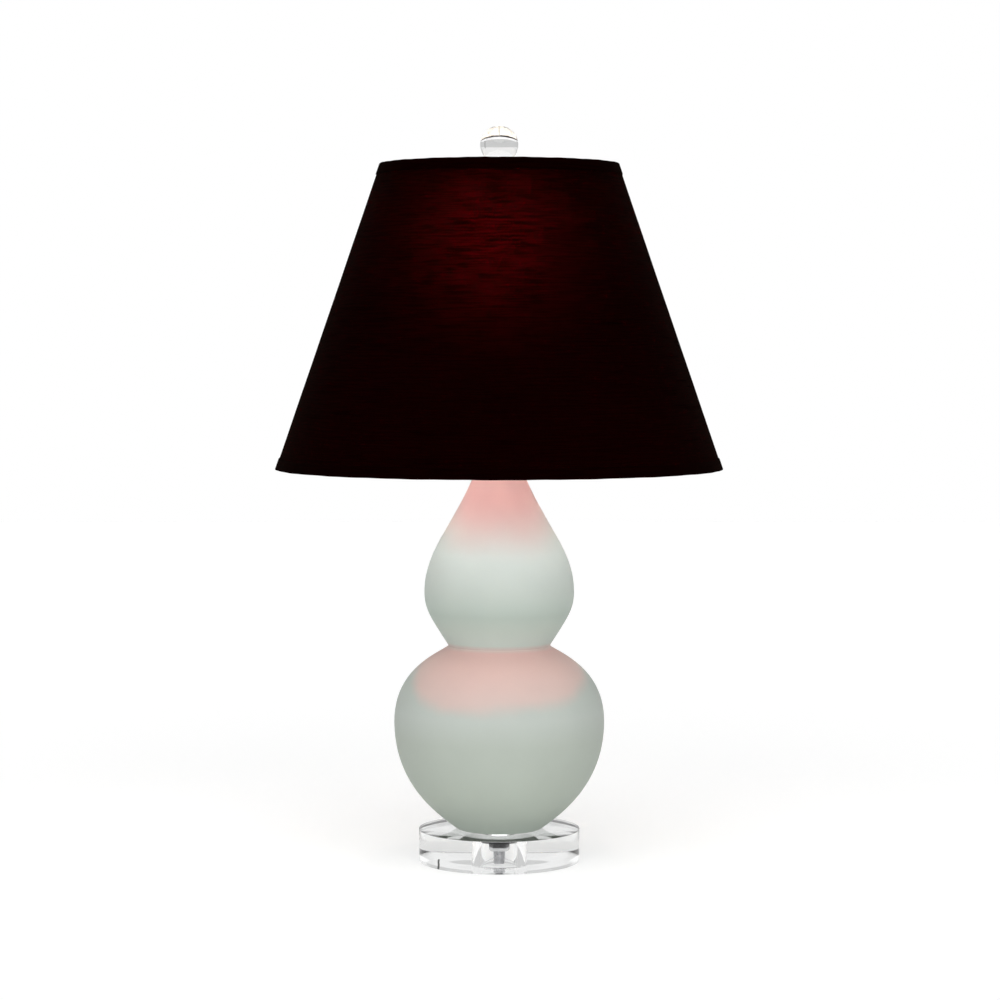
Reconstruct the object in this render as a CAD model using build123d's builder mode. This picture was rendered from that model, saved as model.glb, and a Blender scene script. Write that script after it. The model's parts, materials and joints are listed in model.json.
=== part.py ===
from build123d import *
import os
from math import cos, radians, sin

# Double gourd table lamp: a glazed ceramic gourd on a clear acrylic disc, a lamp holder with a
# turn switch, a detachable harp, and a fabric cone shade held by a clear ball finial.
# Millimetres, +Z up. The origin is the centre of the disc's underside, and the front is -Y.

# ---- Driving dimensions ------------------------------------------------------------------

overall_height = 577.85         # 22 3/4 in, from the table to the top of the finial
base_radius = 63.5              # 5 in acrylic disc
base_height = 25.4              # 1 in sheet
rod_radius = 4.7625             # 3/8 in lamp pipe
rod_bore_radius = 3.2
rod_bottom = 1.4                # the pipe's cut end stands just clear of the table
counterbore_radius = 14.5
counterbore_depth = 18.0
hardware_hole_radius = 4.9      # clears the lamp pipe

gourd_wall = 5.5
foot_radius = 29.0              # flat circle that stands on the disc
foot_edge = Vector(34.0, 26.2)  # radius and height of each landmark on the gourd's side
belly = Vector(82.82, 110.9)
waist = Vector(39.87, 170.7)
crown = Vector(58.94, 213.0)
neck = Vector(13.76, 321.3)
foot_angle = 36.6               # slope of the side at the foot, up from the horizontal
shoulder_angle = 49.35          # slope of the lower gourd where it meets the waist
waist_angle = 57.1              # slope of the upper gourd where it leaves the waist
neck_angle = 71.8               # slope of the taper at the neck
foot_reach = 22.2               # how far each curve holds its slope from a landmark
belly_reach_down = 48.4
belly_reach_up = 43.2
shoulder_reach = 7.5
waist_reach = 27.3
crown_reach_down = 12.95
crown_reach_up = 36.4
neck_reach = 55.8

saddle_bottom = 338.0
saddle_thickness = 1.8
saddle_half_width = 6.35
ear_x = 35.0                    # middle of each saddle ear, and of each harp leg
ear_half_width = 4.0
ear_shoulder = 343.2
ear_top = 356.0
socket_bottom = saddle_bottom + saddle_thickness
shell_radius = 16.3
switch_height = 368.0
body_gap = 0.3                  # air between pieces that move on each other
fit_gap = 0.08                  # radial play of a pin in its hole
edge_break = 0.4                # chamfer on turned and cut edges

harp_wire_radius = 1.6
harp_top = 529.6                # centre of the wire where it crosses the axis
harp_half_width = 56.5
stud_radius = 3.15              # 1/4 in finial thread
stud_top = 545.0

shade_bottom = 310.0
shade_top = 548.3
shade_bottom_radius = 175.6
shade_top_radius = 93.6
trim_height = 8.5
trim_thickness = 0.7            # how far the folded band stands out from the cloth
cloth_thickness = 0.6
lining_thickness = 0.5
ring_wire_radius = 1.5
ball_radius = 14.85

os.makedirs("parts", exist_ok=True)


def polar(point, angle, reach):
    """Point at a distance from another, along an angle up from the horizontal."""
    return point + Vector(cos(radians(angle)) * reach, sin(radians(angle)) * reach)


# ---- Base: acrylic disc and the hardware in its counterbore --------------------------------

with BuildPart() as acrylic_base:
    with BuildSketch():
        Circle(base_radius)
    extrude(amount=base_height)
    chamfer(acrylic_base.edges().filter_by(GeomType.CIRCLE), edge_break)
    with BuildSketch():
        Circle(counterbore_radius)
    extrude(amount=counterbore_depth, mode=Mode.SUBTRACT)
    with BuildSketch(Plane.XY.offset(counterbore_depth)):
        Circle(hardware_hole_radius + body_gap)
    extrude(amount=base_height - counterbore_depth, mode=Mode.SUBTRACT)
acrylic_base.part.label = "acrylic_base"
export_step(acrylic_base.part, "parts/acrylic_base.step")

washer_thickness = 1.6
washer_bottom = counterbore_depth - washer_thickness
lock_washer_bottom = washer_bottom - washer_thickness
lock_washer_radius = 7.6
split_width = 1.0
split_angle = 20.0
nut_height = 4.8
nut_flats = 14.3
nut_bottom = lock_washer_bottom - nut_height
nut_face_radius = nut_flats / 2 - 0.2
nut_reach = nut_flats / 2 + 1.3  # clears the hexagon's corners
nut_chamfer = 0.9

with BuildPart() as base_washer:
    with BuildSketch(Plane.XY.offset(washer_bottom)):
        Circle(counterbore_radius - body_gap)
        Circle(hardware_hole_radius, mode=Mode.SUBTRACT)
    extrude(amount=washer_thickness)
base_washer.part.label = "base_washer"
export_step(base_washer.part, "parts/base_washer.step")

with BuildPart() as base_lock_washer:
    with BuildSketch(Plane.XY.offset(lock_washer_bottom)):
        Circle(lock_washer_radius)
        Circle(hardware_hole_radius, mode=Mode.SUBTRACT)
        with Locations(((hardware_hole_radius + lock_washer_radius) / 2, 0)):
            Rectangle(lock_washer_radius / 2, split_width, rotation=split_angle, mode=Mode.SUBTRACT)
    extrude(amount=washer_thickness)
base_lock_washer.part.label = "base_lock_washer"
export_step(base_lock_washer.part, "parts/base_lock_washer.step")

with BuildPart() as base_nut:
    with BuildSketch(Plane.XY.offset(nut_bottom)):
        RegularPolygon(nut_flats / 2, 6, major_radius=False)
    extrude(amount=nut_height)
    with BuildSketch(Plane.XZ):
        with BuildLine():
            Polyline(
                (0, nut_bottom),
                (nut_face_radius, nut_bottom),
                (nut_reach, nut_bottom + nut_chamfer),
                (nut_reach, lock_washer_bottom),
                (0, lock_washer_bottom),
                close=True,
            )
        make_face()
    revolve(axis=Axis.Z, mode=Mode.INTERSECT)
    with BuildSketch(Plane.XY.offset(nut_bottom)):
        Circle(hardware_hole_radius)
    extrude(amount=nut_height, mode=Mode.SUBTRACT)
base_nut.part.label = "base_nut"
export_step(base_nut.part, "parts/base_nut.step")

# ---- Gourd: a hollow turned shell with a flat foot and an open neck ------------------------


def gourd_side(foot, middle, narrow, upper, top):
    """Four curves from foot to neck, with a crease between the two bulbs. Returns the first."""
    rise = Vector(0, 1)
    foot_hold = polar(foot, foot_angle, foot_reach)
    shoulder_hold = polar(narrow, -shoulder_angle, shoulder_reach)
    waist_hold = polar(narrow, waist_angle, waist_reach)
    neck_hold = polar(top, -neck_angle, neck_reach)
    lowest = Bezier(foot, foot_hold, middle - rise * belly_reach_down, middle)
    Bezier(middle, middle + rise * belly_reach_up, shoulder_hold, narrow)
    Bezier(narrow, waist_hold, upper - rise * crown_reach_down, upper)
    Bezier(upper, upper + rise * crown_reach_up, neck_hold, top)
    return lowest


foot_hole_radius = hardware_hole_radius + 0.7
foot_roll = 1.1                 # how far inside the edge the foot starts to roll up
inner_foot = polar(foot_edge, foot_angle + 90, gourd_wall)
inner_belly = belly - Vector(gourd_wall, 0)
inner_waist = waist - Vector(1.3, 0.2) * gourd_wall
inner_crown = crown - Vector(gourd_wall, 0)
inner_neck = neck - Vector(0.85, 0) * gourd_wall

# The cord leaves through a hole square to the wall, low on the back, spot-faced for a bushing.
outlet_share = 0.36             # how far along the lowest curve the hole lies
outlet_hole_radius = 5.6
spot_face_radius = 7.6
spot_face_depth = 0.5

with BuildPart() as gourd_body:
    with BuildSketch(Plane.XZ):
        with BuildLine():
            underside = Line((foot_hole_radius, base_height), (foot_radius, base_height))
            Bezier(underside @ 1, (foot_edge.X - foot_roll, base_height), foot_edge)
            lower_side = gourd_side(foot_edge, belly, waist, crown, neck)
            Line(neck, inner_neck)
            gourd_side(inner_foot, inner_belly, inner_waist, inner_crown, inner_neck)
            floor = Line(inner_foot, (foot_hole_radius, inner_foot.Y))
            Line(floor @ 1, underside @ 0)
        make_face()
    revolve(axis=Axis.Z)
    outlet_point = lower_side @ outlet_share
    outlet_tangent = lower_side % outlet_share
    outlet_face = Plane(
        origin=(0, outlet_point.X, outlet_point.Y),
        x_dir=(1, 0, 0),
        z_dir=(0, outlet_tangent.Y, -outlet_tangent.X),
    ).offset(-spot_face_depth)
    with BuildSketch(outlet_face):
        Circle(spot_face_radius)
    extrude(amount=spot_face_radius, mode=Mode.SUBTRACT)
    with BuildSketch(outlet_face):
        Circle(outlet_hole_radius)
    extrude(amount=-3 * gourd_wall, mode=Mode.SUBTRACT)
gourd_body.part.label = "gourd_body"
export_step(gourd_body.part, "parts/gourd_body.step")

cord_bore_radius = 3.5
bushing_sleeve_radius = 5.45
bushing_flange = 1.8
bushing_flange_radius = spot_face_radius - edge_break
bushing_length = gourd_wall + 3.2
bushing_roll = 0.9
barb_height = 1.4               # snap barb at the sleeve's inner end
barb_reach = 0.7
barb_taper = 20

with BuildPart() as cord_outlet_bushing:
    with BuildSketch(outlet_face):
        Circle(bushing_flange_radius)
    extrude(amount=bushing_flange)
    outlet_axis = Axis(outlet_face.origin, outlet_face.z_dir)
    fillet(cord_outlet_bushing.edges().sort_by(outlet_axis)[-1], bushing_roll)
    with BuildSketch(outlet_face):
        Circle(bushing_sleeve_radius)
    extrude(amount=-bushing_length)
    with BuildSketch(outlet_face.offset(-bushing_length)):
        Circle(bushing_sleeve_radius + barb_reach)
    extrude(amount=barb_height, taper=barb_taper)
    with BuildSketch(outlet_face.offset(bushing_flange)):
        Circle(cord_bore_radius)
    extrude(amount=-bushing_flange - bushing_length, mode=Mode.SUBTRACT)
cord_outlet_bushing.part.label = "cord_outlet_bushing"
export_step(cord_outlet_bushing.part, "parts/cord_outlet_bushing.step")
print("cord outlet face", outlet_face.origin, "axis", outlet_face.z_dir)

# ---- Lamp pipe, vase cap and neck ----------------------------------------------------------

cap_plate = neck.Y              # the vase cap's plate lies on the gourd's mouth
cap_top = cap_plate + 4.0
rod_top = socket_bottom + 6.0
rod_chamfer = 0.5
wire_slot_length = 14.0         # where the cord leaves the pipe, inside the gourd
wire_slot_rise = 12.0

with BuildPart() as threaded_rod:
    with BuildSketch(Plane.XY.offset(rod_bottom)):
        Circle(rod_radius)
        Circle(rod_bore_radius, mode=Mode.SUBTRACT)
    extrude(amount=rod_top - rod_bottom)
    chamfer(threaded_rod.edges().group_by(Axis.Z)[0].sort_by(SortBy.LENGTH)[-1], rod_chamfer)
    with BuildSketch(Plane.XZ.offset(-rod_radius - 1)):
        with Locations((0, outlet_point.Y + wire_slot_rise)):
            SlotOverall(wire_slot_length, 2 * rod_bore_radius, rotation=90)
    extrude(amount=rod_radius + 1, mode=Mode.SUBTRACT)
threaded_rod.part.label = "threaded_rod"
export_step(threaded_rod.part, "parts/threaded_rod.step")

cap_lip_inner = neck.X + 2.4    # the cap's lip hangs over the mouth
cap_lip_outer = neck.X + 3.6
cap_lip_bottom = cap_plate - 4.2
cap_seat_radius = 8.0

with BuildPart() as vase_cap:
    with BuildSketch(Plane.XZ):
        with BuildLine():
            skirt = Polyline(
                (hardware_hole_radius, cap_plate),
                (cap_lip_inner, cap_plate),
                (cap_lip_inner, cap_lip_bottom),
                (cap_lip_outer, cap_lip_bottom),
                (cap_lip_outer, cap_plate - 0.6),
            )
            shoulder = RadiusArc(skirt @ 1, (neck.X + 1.4, cap_plate + 1.6), -2.2)
            dish = TangentArc(shoulder @ 1, (cap_seat_radius + 0.6, cap_top - 0.8), tangent=(-1, 0))
            Line(dish @ 1, (cap_seat_radius, cap_top))
            Line((cap_seat_radius, cap_top), (hardware_hole_radius, cap_top))
            Line((hardware_hole_radius, cap_top), skirt @ 0)
        make_face()
    revolve(axis=Axis.Z)
vase_cap.part.label = "vase_cap"
export_step(vase_cap.part, "parts/vase_cap.step")

spacer_radius = 7.4
spacer_waist = 6.0
spacer_rim = 1.6

with BuildPart() as neck_spacer:
    with BuildSketch(Plane.XZ):
        with BuildLine():
            spacer_foot = Polyline(
                (spacer_radius, cap_top + spacer_rim),
                (spacer_radius, cap_top),
                (hardware_hole_radius, cap_top),
                (hardware_hole_radius, saddle_bottom),
                (spacer_radius, saddle_bottom),
                (spacer_radius, saddle_bottom - spacer_rim),
            )
            ThreePointArc(
                spacer_foot @ 1,
                (spacer_waist, (cap_top + saddle_bottom) / 2),
                spacer_foot @ 0,
            )
        make_face()
    revolve(axis=Axis.Z)
neck_spacer.part.label = "neck_spacer"
export_step(neck_spacer.part, "parts/neck_spacer.step")

# ---- Harp saddle: a bent strip whose tapered ears take the harp legs ------------------------

saddle_middle = saddle_bottom + saddle_thickness / 2
saddle_bend = 4.5
ear_taper_low = ear_shoulder - 1.6
ear_taper_high = ear_shoulder + 0.8

with BuildPart() as harp_saddle:
    with BuildSketch(Plane.XZ):
        with BuildLine():
            FilletPolyline(
                (-ear_x, ear_top),
                (-ear_x, saddle_middle),
                (ear_x, saddle_middle),
                (ear_x, ear_top),
                radius=saddle_bend,
            )
        trace(line_width=saddle_thickness)
    extrude(amount=saddle_half_width, both=True)
    with BuildSketch(Plane.YZ):
        with BuildLine():
            Polyline(
                (-ear_half_width, ear_top + 1),
                (-ear_half_width, ear_taper_high),
                (-saddle_half_width, ear_taper_low),
                (-saddle_half_width, saddle_bottom - 1),
                (saddle_half_width, saddle_bottom - 1),
                (saddle_half_width, ear_taper_low),
                (ear_half_width, ear_taper_high),
                (ear_half_width, ear_top + 1),
                close=True,
            )
        make_face()
    extrude(amount=ear_x + saddle_thickness, both=True, mode=Mode.INTERSECT)
    with BuildSketch(Plane.XY.offset(saddle_bottom)):
        Circle(hardware_hole_radius)
    extrude(amount=saddle_thickness, mode=Mode.SUBTRACT)
harp_saddle.part.label = "harp_saddle"
export_step(harp_saddle.part, "parts/harp_saddle.step")

# ---- Lamp holder: cap, shell, card liner, moulded body and contacts -------------------------

cap_rim = socket_bottom + 21.0
shell_bottom = cap_rim - 5.0
shell_top = socket_bottom + 58.0
body_bottom = shell_bottom + 1.5
body_top = body_bottom + 18.5
screw_shell_radius = 13.9       # outside of the medium screw shell
screw_shell_wall = 0.4
screw_shell_top = shell_top - 3.0

cap_stem_radius = 8.2
cap_flare_low = socket_bottom + 4.5
cap_flare_high = socket_bottom + 12.5
cap_inside = socket_bottom + 6.9
cap_roll = 0.3

with BuildPart() as socket_cap:
    with BuildSketch(Plane.XZ):
        with BuildLine():
            Polyline(
                (hardware_hole_radius, socket_bottom),
                (cap_stem_radius, socket_bottom),
                (cap_stem_radius, cap_flare_low),
                (cap_stem_radius + 2.8, cap_flare_low + 1.5),
                (shell_radius + 0.9, cap_flare_high),
                (shell_radius + 0.9, cap_rim),
                (shell_radius + 0.1, cap_rim),
                (shell_radius + 0.1, cap_flare_high + 0.5),
                (cap_stem_radius + 2.4, cap_inside),
                (cap_stem_radius - 1.2, cap_inside),
                (hardware_hole_radius, cap_inside - 0.5),
                close=True,
            )
        make_face()
    revolve(axis=Axis.Z)
    flare_edges = socket_cap.edges().filter_by_position(Axis.Z, cap_flare_high - 0.5, cap_rim - 1)
    fillet(flare_edges, cap_roll)
socket_cap.part.label = "socket_cap"
export_step(socket_cap.part, "parts/socket_cap.step")

shell_wall = 0.5
bead_height = 0.7               # rolled bead round the shell's mouth
lip_reach = 1.4                 # the shell's mouth turns in over the screw shell
switch_slot_length = 14.0
switch_slot_width = 8.0

with BuildPart() as socket_shell:
    with BuildSketch(Plane.XZ):
        with BuildLine():
            Polyline(
                (shell_radius - shell_wall, shell_bottom),
                (shell_radius, shell_bottom),
                (shell_radius, shell_top - 2 * bead_height),
                (shell_radius + bead_height, shell_top - bead_height),
                (shell_radius, shell_top),
                (shell_radius - lip_reach, shell_top),
                (shell_radius - lip_reach, shell_top - shell_wall),
                (shell_radius - shell_wall, shell_top - shell_wall),
                close=True,
            )
        make_face()
    revolve(axis=Axis.Z)
    with BuildSketch(Plane.XZ):
        with Locations((0, switch_height - 3)):
            SlotOverall(switch_slot_length, switch_slot_width, rotation=90)
    extrude(amount=shell_radius + 2, mode=Mode.SUBTRACT)
socket_shell.part.label = "socket_shell"
export_step(socket_shell.part, "parts/socket_shell.step")

liner_outer = shell_radius - 0.6
liner_inner = shell_radius - 1.2

with BuildPart() as shell_liner:
    with BuildSketch(Plane.XY.offset(shell_bottom + 1)):
        Circle(liner_outer)
        Circle(liner_inner, mode=Mode.SUBTRACT)
    extrude(amount=shell_top - shell_bottom - 3)
    with BuildSketch(Plane.XZ):
        with Locations((0, switch_height - 3)):
            SlotOverall(switch_slot_length + 2, switch_slot_width - 1, rotation=90)
    extrude(amount=shell_radius + 2, mode=Mode.SUBTRACT)
shell_liner.part.label = "shell_liner"
export_step(shell_liner.part, "parts/shell_liner.step")

cap_liner_top = shell_bottom - 0.2
cap_liner_outer = shell_radius - 0.8
cap_liner_inner = shell_radius - 1.4

with BuildPart() as cap_liner:
    with BuildSketch(Plane.XZ):
        with BuildLine():
            Polyline(
                (cap_stem_radius + 2.2, cap_inside + 0.3),
                (cap_liner_outer, cap_flare_high + 0.6),
                (cap_liner_outer, cap_liner_top),
                (cap_liner_inner, cap_liner_top),
                (cap_liner_inner, cap_flare_high + 1.1),
                (cap_stem_radius + 2.0, cap_inside + 0.9),
                close=True,
            )
        make_face()
    revolve(axis=Axis.Z)
cap_liner.part.label = "cap_liner"
export_step(cap_liner.part, "parts/cap_liner.step")

switch_shaft_radius = 1.7
switch_shaft_inner = 9.0        # how far from the axis the shaft starts inside the body
holder_radius = shell_radius - 1.5
rivet_recess_radius = 4.0
rivet_recess_depth = 5.0
terminal_flat = 12.0            # distance from the axis to the flats that carry the terminals

with BuildPart() as socket_body:
    with BuildSketch(Plane.XY.offset(body_bottom)):
        Circle(holder_radius)
        for side in (-1, 1):
            with Locations((side * (terminal_flat + 5), 0)):
                Rectangle(10, 3 * holder_radius, mode=Mode.SUBTRACT)
    extrude(amount=body_top - body_bottom)
    with BuildSketch(Plane.XY.offset(body_bottom)):
        Circle(rivet_recess_radius)
    extrude(amount=rivet_recess_depth, mode=Mode.SUBTRACT)
    with BuildSketch(Plane.XZ.offset(switch_shaft_inner - body_gap)):
        with Locations((0, switch_height)):
            Circle(switch_shaft_radius + fit_gap)
    extrude(amount=shell_radius, mode=Mode.SUBTRACT)
socket_body.part.label = "socket_body"
export_step(socket_body.part, "parts/socket_body.step")

contact_hole_radius = 6.0

with BuildPart() as screw_shell:
    with BuildSketch(Plane.XY.offset(body_top)):
        Circle(screw_shell_radius)
    extrude(amount=screw_shell_top - body_top)
    with BuildSketch(Plane.XY.offset(body_top + screw_shell_wall)):
        Circle(screw_shell_radius - screw_shell_wall)
    extrude(amount=screw_shell_top - body_top, mode=Mode.SUBTRACT)
    with BuildSketch(Plane.XY.offset(body_top)):
        Circle(contact_hole_radius)
    extrude(amount=screw_shell_wall, mode=Mode.SUBTRACT)
screw_shell.part.label = "screw_shell"
export_step(screw_shell.part, "parts/screw_shell.step")

contact_top = body_top + 4.2
contact_strip = 0.5             # thickness of the sprung strip
contact_half_width = 2.2
contact_low = body_top + contact_strip / 2
contact_high = contact_top - contact_strip / 2

with BuildPart() as centre_contact:
    with BuildSketch(Plane.XZ):
        with BuildLine():
            FilletPolyline(
                (-4.6, contact_low),
                (-3.0, contact_low),
                (-0.6, contact_high),
                (3.2, contact_high),
                radius=0.8,
            )
        trace(line_width=contact_strip)
    extrude(amount=contact_half_width, both=True)
centre_contact.part.label = "centre_contact"
export_step(centre_contact.part, "parts/centre_contact.step")

terminal_height = (body_bottom + body_top) / 2 - 2
screw_head_radius = 3.0
screw_head_height = 1.6
screw_slot_width = 0.9

with BuildPart() as terminal_screws:
    for side in (-1, 1):
        terminal_face = Plane.YZ.offset(side * terminal_flat)
        with BuildSketch(terminal_face):
            with Locations((0, terminal_height)):
                Circle(screw_head_radius)
                Rectangle(3 * screw_head_radius, screw_slot_width, mode=Mode.SUBTRACT)
        extrude(amount=side * screw_head_height)
        with BuildSketch(terminal_face):
            with Locations((0, terminal_height)):
                Circle(screw_head_radius)
        extrude(amount=side * screw_head_height / 2)
terminal_screws.part.label = "terminal_screws"
export_step(terminal_screws.part, "parts/terminal_screws.step")

# ---- Turn switch: shaft and fluted knob ----------------------------------------------------

knob_inner = shell_radius + 5.5
knob_length = 13.0
knob_radius = 5.6
flute_count = 12
flute_radius = 0.9
flute_inset = 0.35
knob_socket = knob_length - 3   # how far the shaft goes into the knob
bar_length = 8.0
bar_width = 1.4
bar_height = 1.2

with BuildPart() as switch_shaft:
    with BuildSketch(Plane.XZ.offset(switch_shaft_inner)):
        with Locations((0, switch_height)):
            Circle(switch_shaft_radius)
    extrude(amount=knob_inner + knob_socket - switch_shaft_inner)
switch_shaft.part.label = "switch_shaft"
export_step(switch_shaft.part, "parts/switch_shaft.step")

with BuildPart() as switch_knob:
    with BuildSketch(Plane.XZ.offset(knob_inner)):
        with Locations((0, switch_height)):
            Circle(knob_radius)
            with PolarLocations(knob_radius + flute_inset, flute_count):
                Circle(flute_radius, mode=Mode.SUBTRACT)
    extrude(amount=knob_length)
    with BuildSketch(Plane.XZ.offset(knob_inner)):
        with Locations((0, switch_height)):
            Circle(switch_shaft_radius)
    extrude(amount=knob_socket, mode=Mode.SUBTRACT)
    with BuildSketch(Plane.XZ.offset(knob_inner + knob_length)):
        with Locations((0, switch_height)):
            Circle(knob_radius - 1.3)
            Rectangle(bar_length, bar_width, mode=Mode.SUBTRACT)
    extrude(amount=bar_height)
switch_knob.part.label = "switch_knob"
export_step(switch_knob.part, "parts/switch_knob.step")

# ---- Bulb: screw cap, insulator, contact and blown envelope ---------------------------------

bulb_tip_bottom = contact_top + body_gap
bulb_insulator_bottom = bulb_tip_bottom + 1.1
bulb_cap_bottom = bulb_insulator_bottom + 3.0
bulb_cap_top = bulb_cap_bottom + 19.0
bulb_cap_radius = 13.0
bulb_radius = 30.0
bulb_top = bulb_tip_bottom + 109.5
spigot_radius = 5.9
tip_radius = 4.0
cap_sheet = 0.4                 # thickness of the cap's sheet metal
glass_wall = 1.2
bulb_neck_radius = 12.5

with BuildPart() as bulb_tip:
    with BuildSketch(Plane.XZ):
        with BuildLine():
            dome = ThreePointArc(
                (0, bulb_tip_bottom),
                (2.6, bulb_tip_bottom + 0.3),
                (tip_radius, bulb_insulator_bottom),
            )
            Polyline(dome @ 1, (0, bulb_insulator_bottom), dome @ 0)
        make_face()
    revolve(axis=Axis.Z)
bulb_tip.part.label = "bulb_tip"
export_step(bulb_tip.part, "parts/bulb_tip.step")

with BuildPart() as bulb_insulator:
    with BuildSketch(Plane.XZ):
        with BuildLine():
            Polyline(
                (0, bulb_insulator_bottom),
                (tip_radius + 1.2, bulb_insulator_bottom),
                (bulb_cap_radius - 1.6, bulb_cap_bottom - body_gap),
                (spigot_radius, bulb_cap_bottom - body_gap),
                (spigot_radius, bulb_cap_bottom + 1.6),
                (0, bulb_cap_bottom + 1.6),
                close=True,
            )
        make_face()
    revolve(axis=Axis.Z)
bulb_insulator.part.label = "bulb_insulator"
export_step(bulb_insulator.part, "parts/bulb_insulator.step")

with BuildPart() as bulb_cap:
    with BuildSketch(Plane.XZ):
        with BuildLine():
            Polyline(
                (spigot_radius + fit_gap, bulb_cap_bottom),
                (bulb_cap_radius - 1.4, bulb_cap_bottom),
                (bulb_cap_radius, bulb_cap_bottom + 1.6),
                (bulb_cap_radius, bulb_cap_top),
                (bulb_cap_radius - cap_sheet, bulb_cap_top),
                (bulb_cap_radius - cap_sheet, bulb_cap_bottom + 1.8),
                (bulb_cap_radius - 1.6, bulb_cap_bottom + 0.5),
                (spigot_radius + fit_gap, bulb_cap_bottom + 0.5),
                close=True,
            )
        make_face()
    revolve(axis=Axis.Z)
bulb_cap.part.label = "bulb_cap"
export_step(bulb_cap.part, "parts/bulb_cap.step")


def bulb_side(inset):
    """Side of the envelope from its neck, in the cap, to the crown on the axis."""
    bulge = Vector(bulb_radius - inset, bulb_top - bulb_radius)
    stem_radius = bulb_neck_radius - inset
    stem = Line((stem_radius, bulb_cap_top - 4), (stem_radius, bulb_cap_top + 0.5))
    flare = Bezier(stem @ 1, stem @ 1 + Vector(0.4, 20), bulge - Vector(0, 22), bulge)
    halfway = polar(Vector(0, bulge.Y), 45, bulge.X)
    crown_arc = ThreePointArc(flare @ 1, halfway, (0, bulb_top - inset))
    return stem, crown_arc


with BuildPart() as bulb_envelope:
    with BuildSketch(Plane.XZ):
        with BuildLine():
            outer_stem, outer_crown = bulb_side(0)
            inner_stem, inner_crown = bulb_side(glass_wall)
            Line(outer_stem @ 0, inner_stem @ 0)
            Line(outer_crown @ 1, inner_crown @ 1)
        make_face()
    revolve(axis=Axis.Z)
bulb_envelope.part.label = "bulb_envelope"
export_step(bulb_envelope.part, "parts/bulb_envelope.step")

# ---- Harp: bow with flattened feet and eye, two sliding ferrules, swivel stud and seat -------

leg_bottom = ear_top + body_gap
foot_plate_inner = ear_x + saddle_thickness / 2 + body_gap
foot_plate_thickness = 1.4
foot_plate_bottom = ear_shoulder + 1.0
foot_plate_top = leg_bottom + 6.0
eye_thickness = 2.2
eye_radius = 6.5
eye_top = harp_top + eye_thickness / 2
rivet_radius = 2.5
rivet_head_radius = 4.3
rivet_head_height = 1.3
seat_bottom = eye_top + body_gap
seat_thickness = 1.6
seat_radius = 9.5

bow_leg_top = leg_bottom + 36   # corners of the bow before they are rounded
bow_wide_low = leg_bottom + 76
bow_wide_high = leg_bottom + 124
bow_top_half = harp_half_width - 21
bow_bends = (26, 55, 60, 27, 27, 60, 55, 26)
foot_corner = 2.4

with BuildPart() as harp_bow:
    with BuildLine(Plane.XZ) as bow_path:
        FilletPolyline(
            (-ear_x, leg_bottom),
            (-ear_x, bow_leg_top),
            (-harp_half_width, bow_wide_low),
            (-harp_half_width, bow_wide_high),
            (-bow_top_half, harp_top),
            (bow_top_half, harp_top),
            (harp_half_width, bow_wide_high),
            (harp_half_width, bow_wide_low),
            (ear_x, bow_leg_top),
            (ear_x, leg_bottom),
            radius=bow_bends,
        )
    with BuildSketch(Plane.XY.offset(leg_bottom)):
        with Locations((-ear_x, 0)):
            Circle(harp_wire_radius)
    sweep(path=bow_path.line)
    with BuildSketch(Plane.XY.offset(eye_top - eye_thickness)):
        Circle(eye_radius)
    extrude(amount=eye_thickness)
    for flat_start in (eye_top, eye_top - eye_thickness - harp_wire_radius):
        with BuildSketch(Plane.XY.offset(flat_start)):
            Circle(seat_radius + 1.2)
        extrude(amount=harp_wire_radius, mode=Mode.SUBTRACT)
    with BuildSketch(Plane.XY.offset(eye_top - eye_thickness)):
        Circle(rivet_radius + fit_gap)
    extrude(amount=eye_thickness, mode=Mode.SUBTRACT)
    for side in (-1, 1):
        with BuildSketch(Plane.YZ.offset(side * foot_plate_inner)):
            with Locations((0, (foot_plate_bottom + foot_plate_top) / 2)):
                RectangleRounded(2 * ear_half_width, foot_plate_top - foot_plate_bottom, foot_corner)
        extrude(amount=side * foot_plate_thickness)
harp_bow.part.label = "harp_bow"
export_step(harp_bow.part, "parts/harp_bow.step")

ferrule_bottom = ear_shoulder + 0.9
ferrule_height = 13.0
ferrule_wall = 0.9
ferrule_inner_x = ear_x - harp_wire_radius - body_gap
ferrule_outer_x = foot_plate_inner + foot_plate_thickness + body_gap
ferrule_middle_x = (ferrule_inner_x + ferrule_outer_x) / 2
ferrule_bore_x = ferrule_outer_x - ferrule_inner_x
ferrule_bore_y = 2 * (ear_half_width + body_gap)
ferrule_width = ferrule_bore_x + 2 * ferrule_wall
ferrule_depth = ferrule_bore_y + 2 * ferrule_wall
ferrule_corner = 2.0
bore_corner = 0.3

for name, side in (("ferrule_left", -1), ("ferrule_right", 1)):
    with BuildPart() as ferrule:
        with BuildSketch(Plane.XY.offset(ferrule_bottom)):
            with Locations((side * ferrule_middle_x, 0)):
                RectangleRounded(ferrule_width, ferrule_depth, ferrule_corner)
                RectangleRounded(ferrule_bore_x, ferrule_bore_y, bore_corner, mode=Mode.SUBTRACT)
        extrude(amount=ferrule_height)
    ferrule.part.label = name
    export_step(ferrule.part, f"parts/{name}.step")

with BuildPart() as harp_stud:
    with BuildSketch(Plane.XY.offset(seat_bottom)):
        Circle(stud_radius)
    extrude(amount=stud_top - seat_bottom)
    chamfer(harp_stud.edges().sort_by(Axis.Z)[-1], 0.6)
    with BuildSketch(Plane.XY.offset(seat_bottom)):
        Circle(rivet_radius)
    extrude(amount=-eye_thickness - 2 * body_gap)
    with BuildSketch(Plane.XY.offset(seat_bottom - eye_thickness - 2 * body_gap)):
        Circle(rivet_head_radius)
    extrude(amount=-rivet_head_height)
    fillet(harp_stud.edges().sort_by(Axis.Z)[0], 0.7)
harp_stud.part.label = "harp_stud"
export_step(harp_stud.part, "parts/harp_stud.step")

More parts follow.
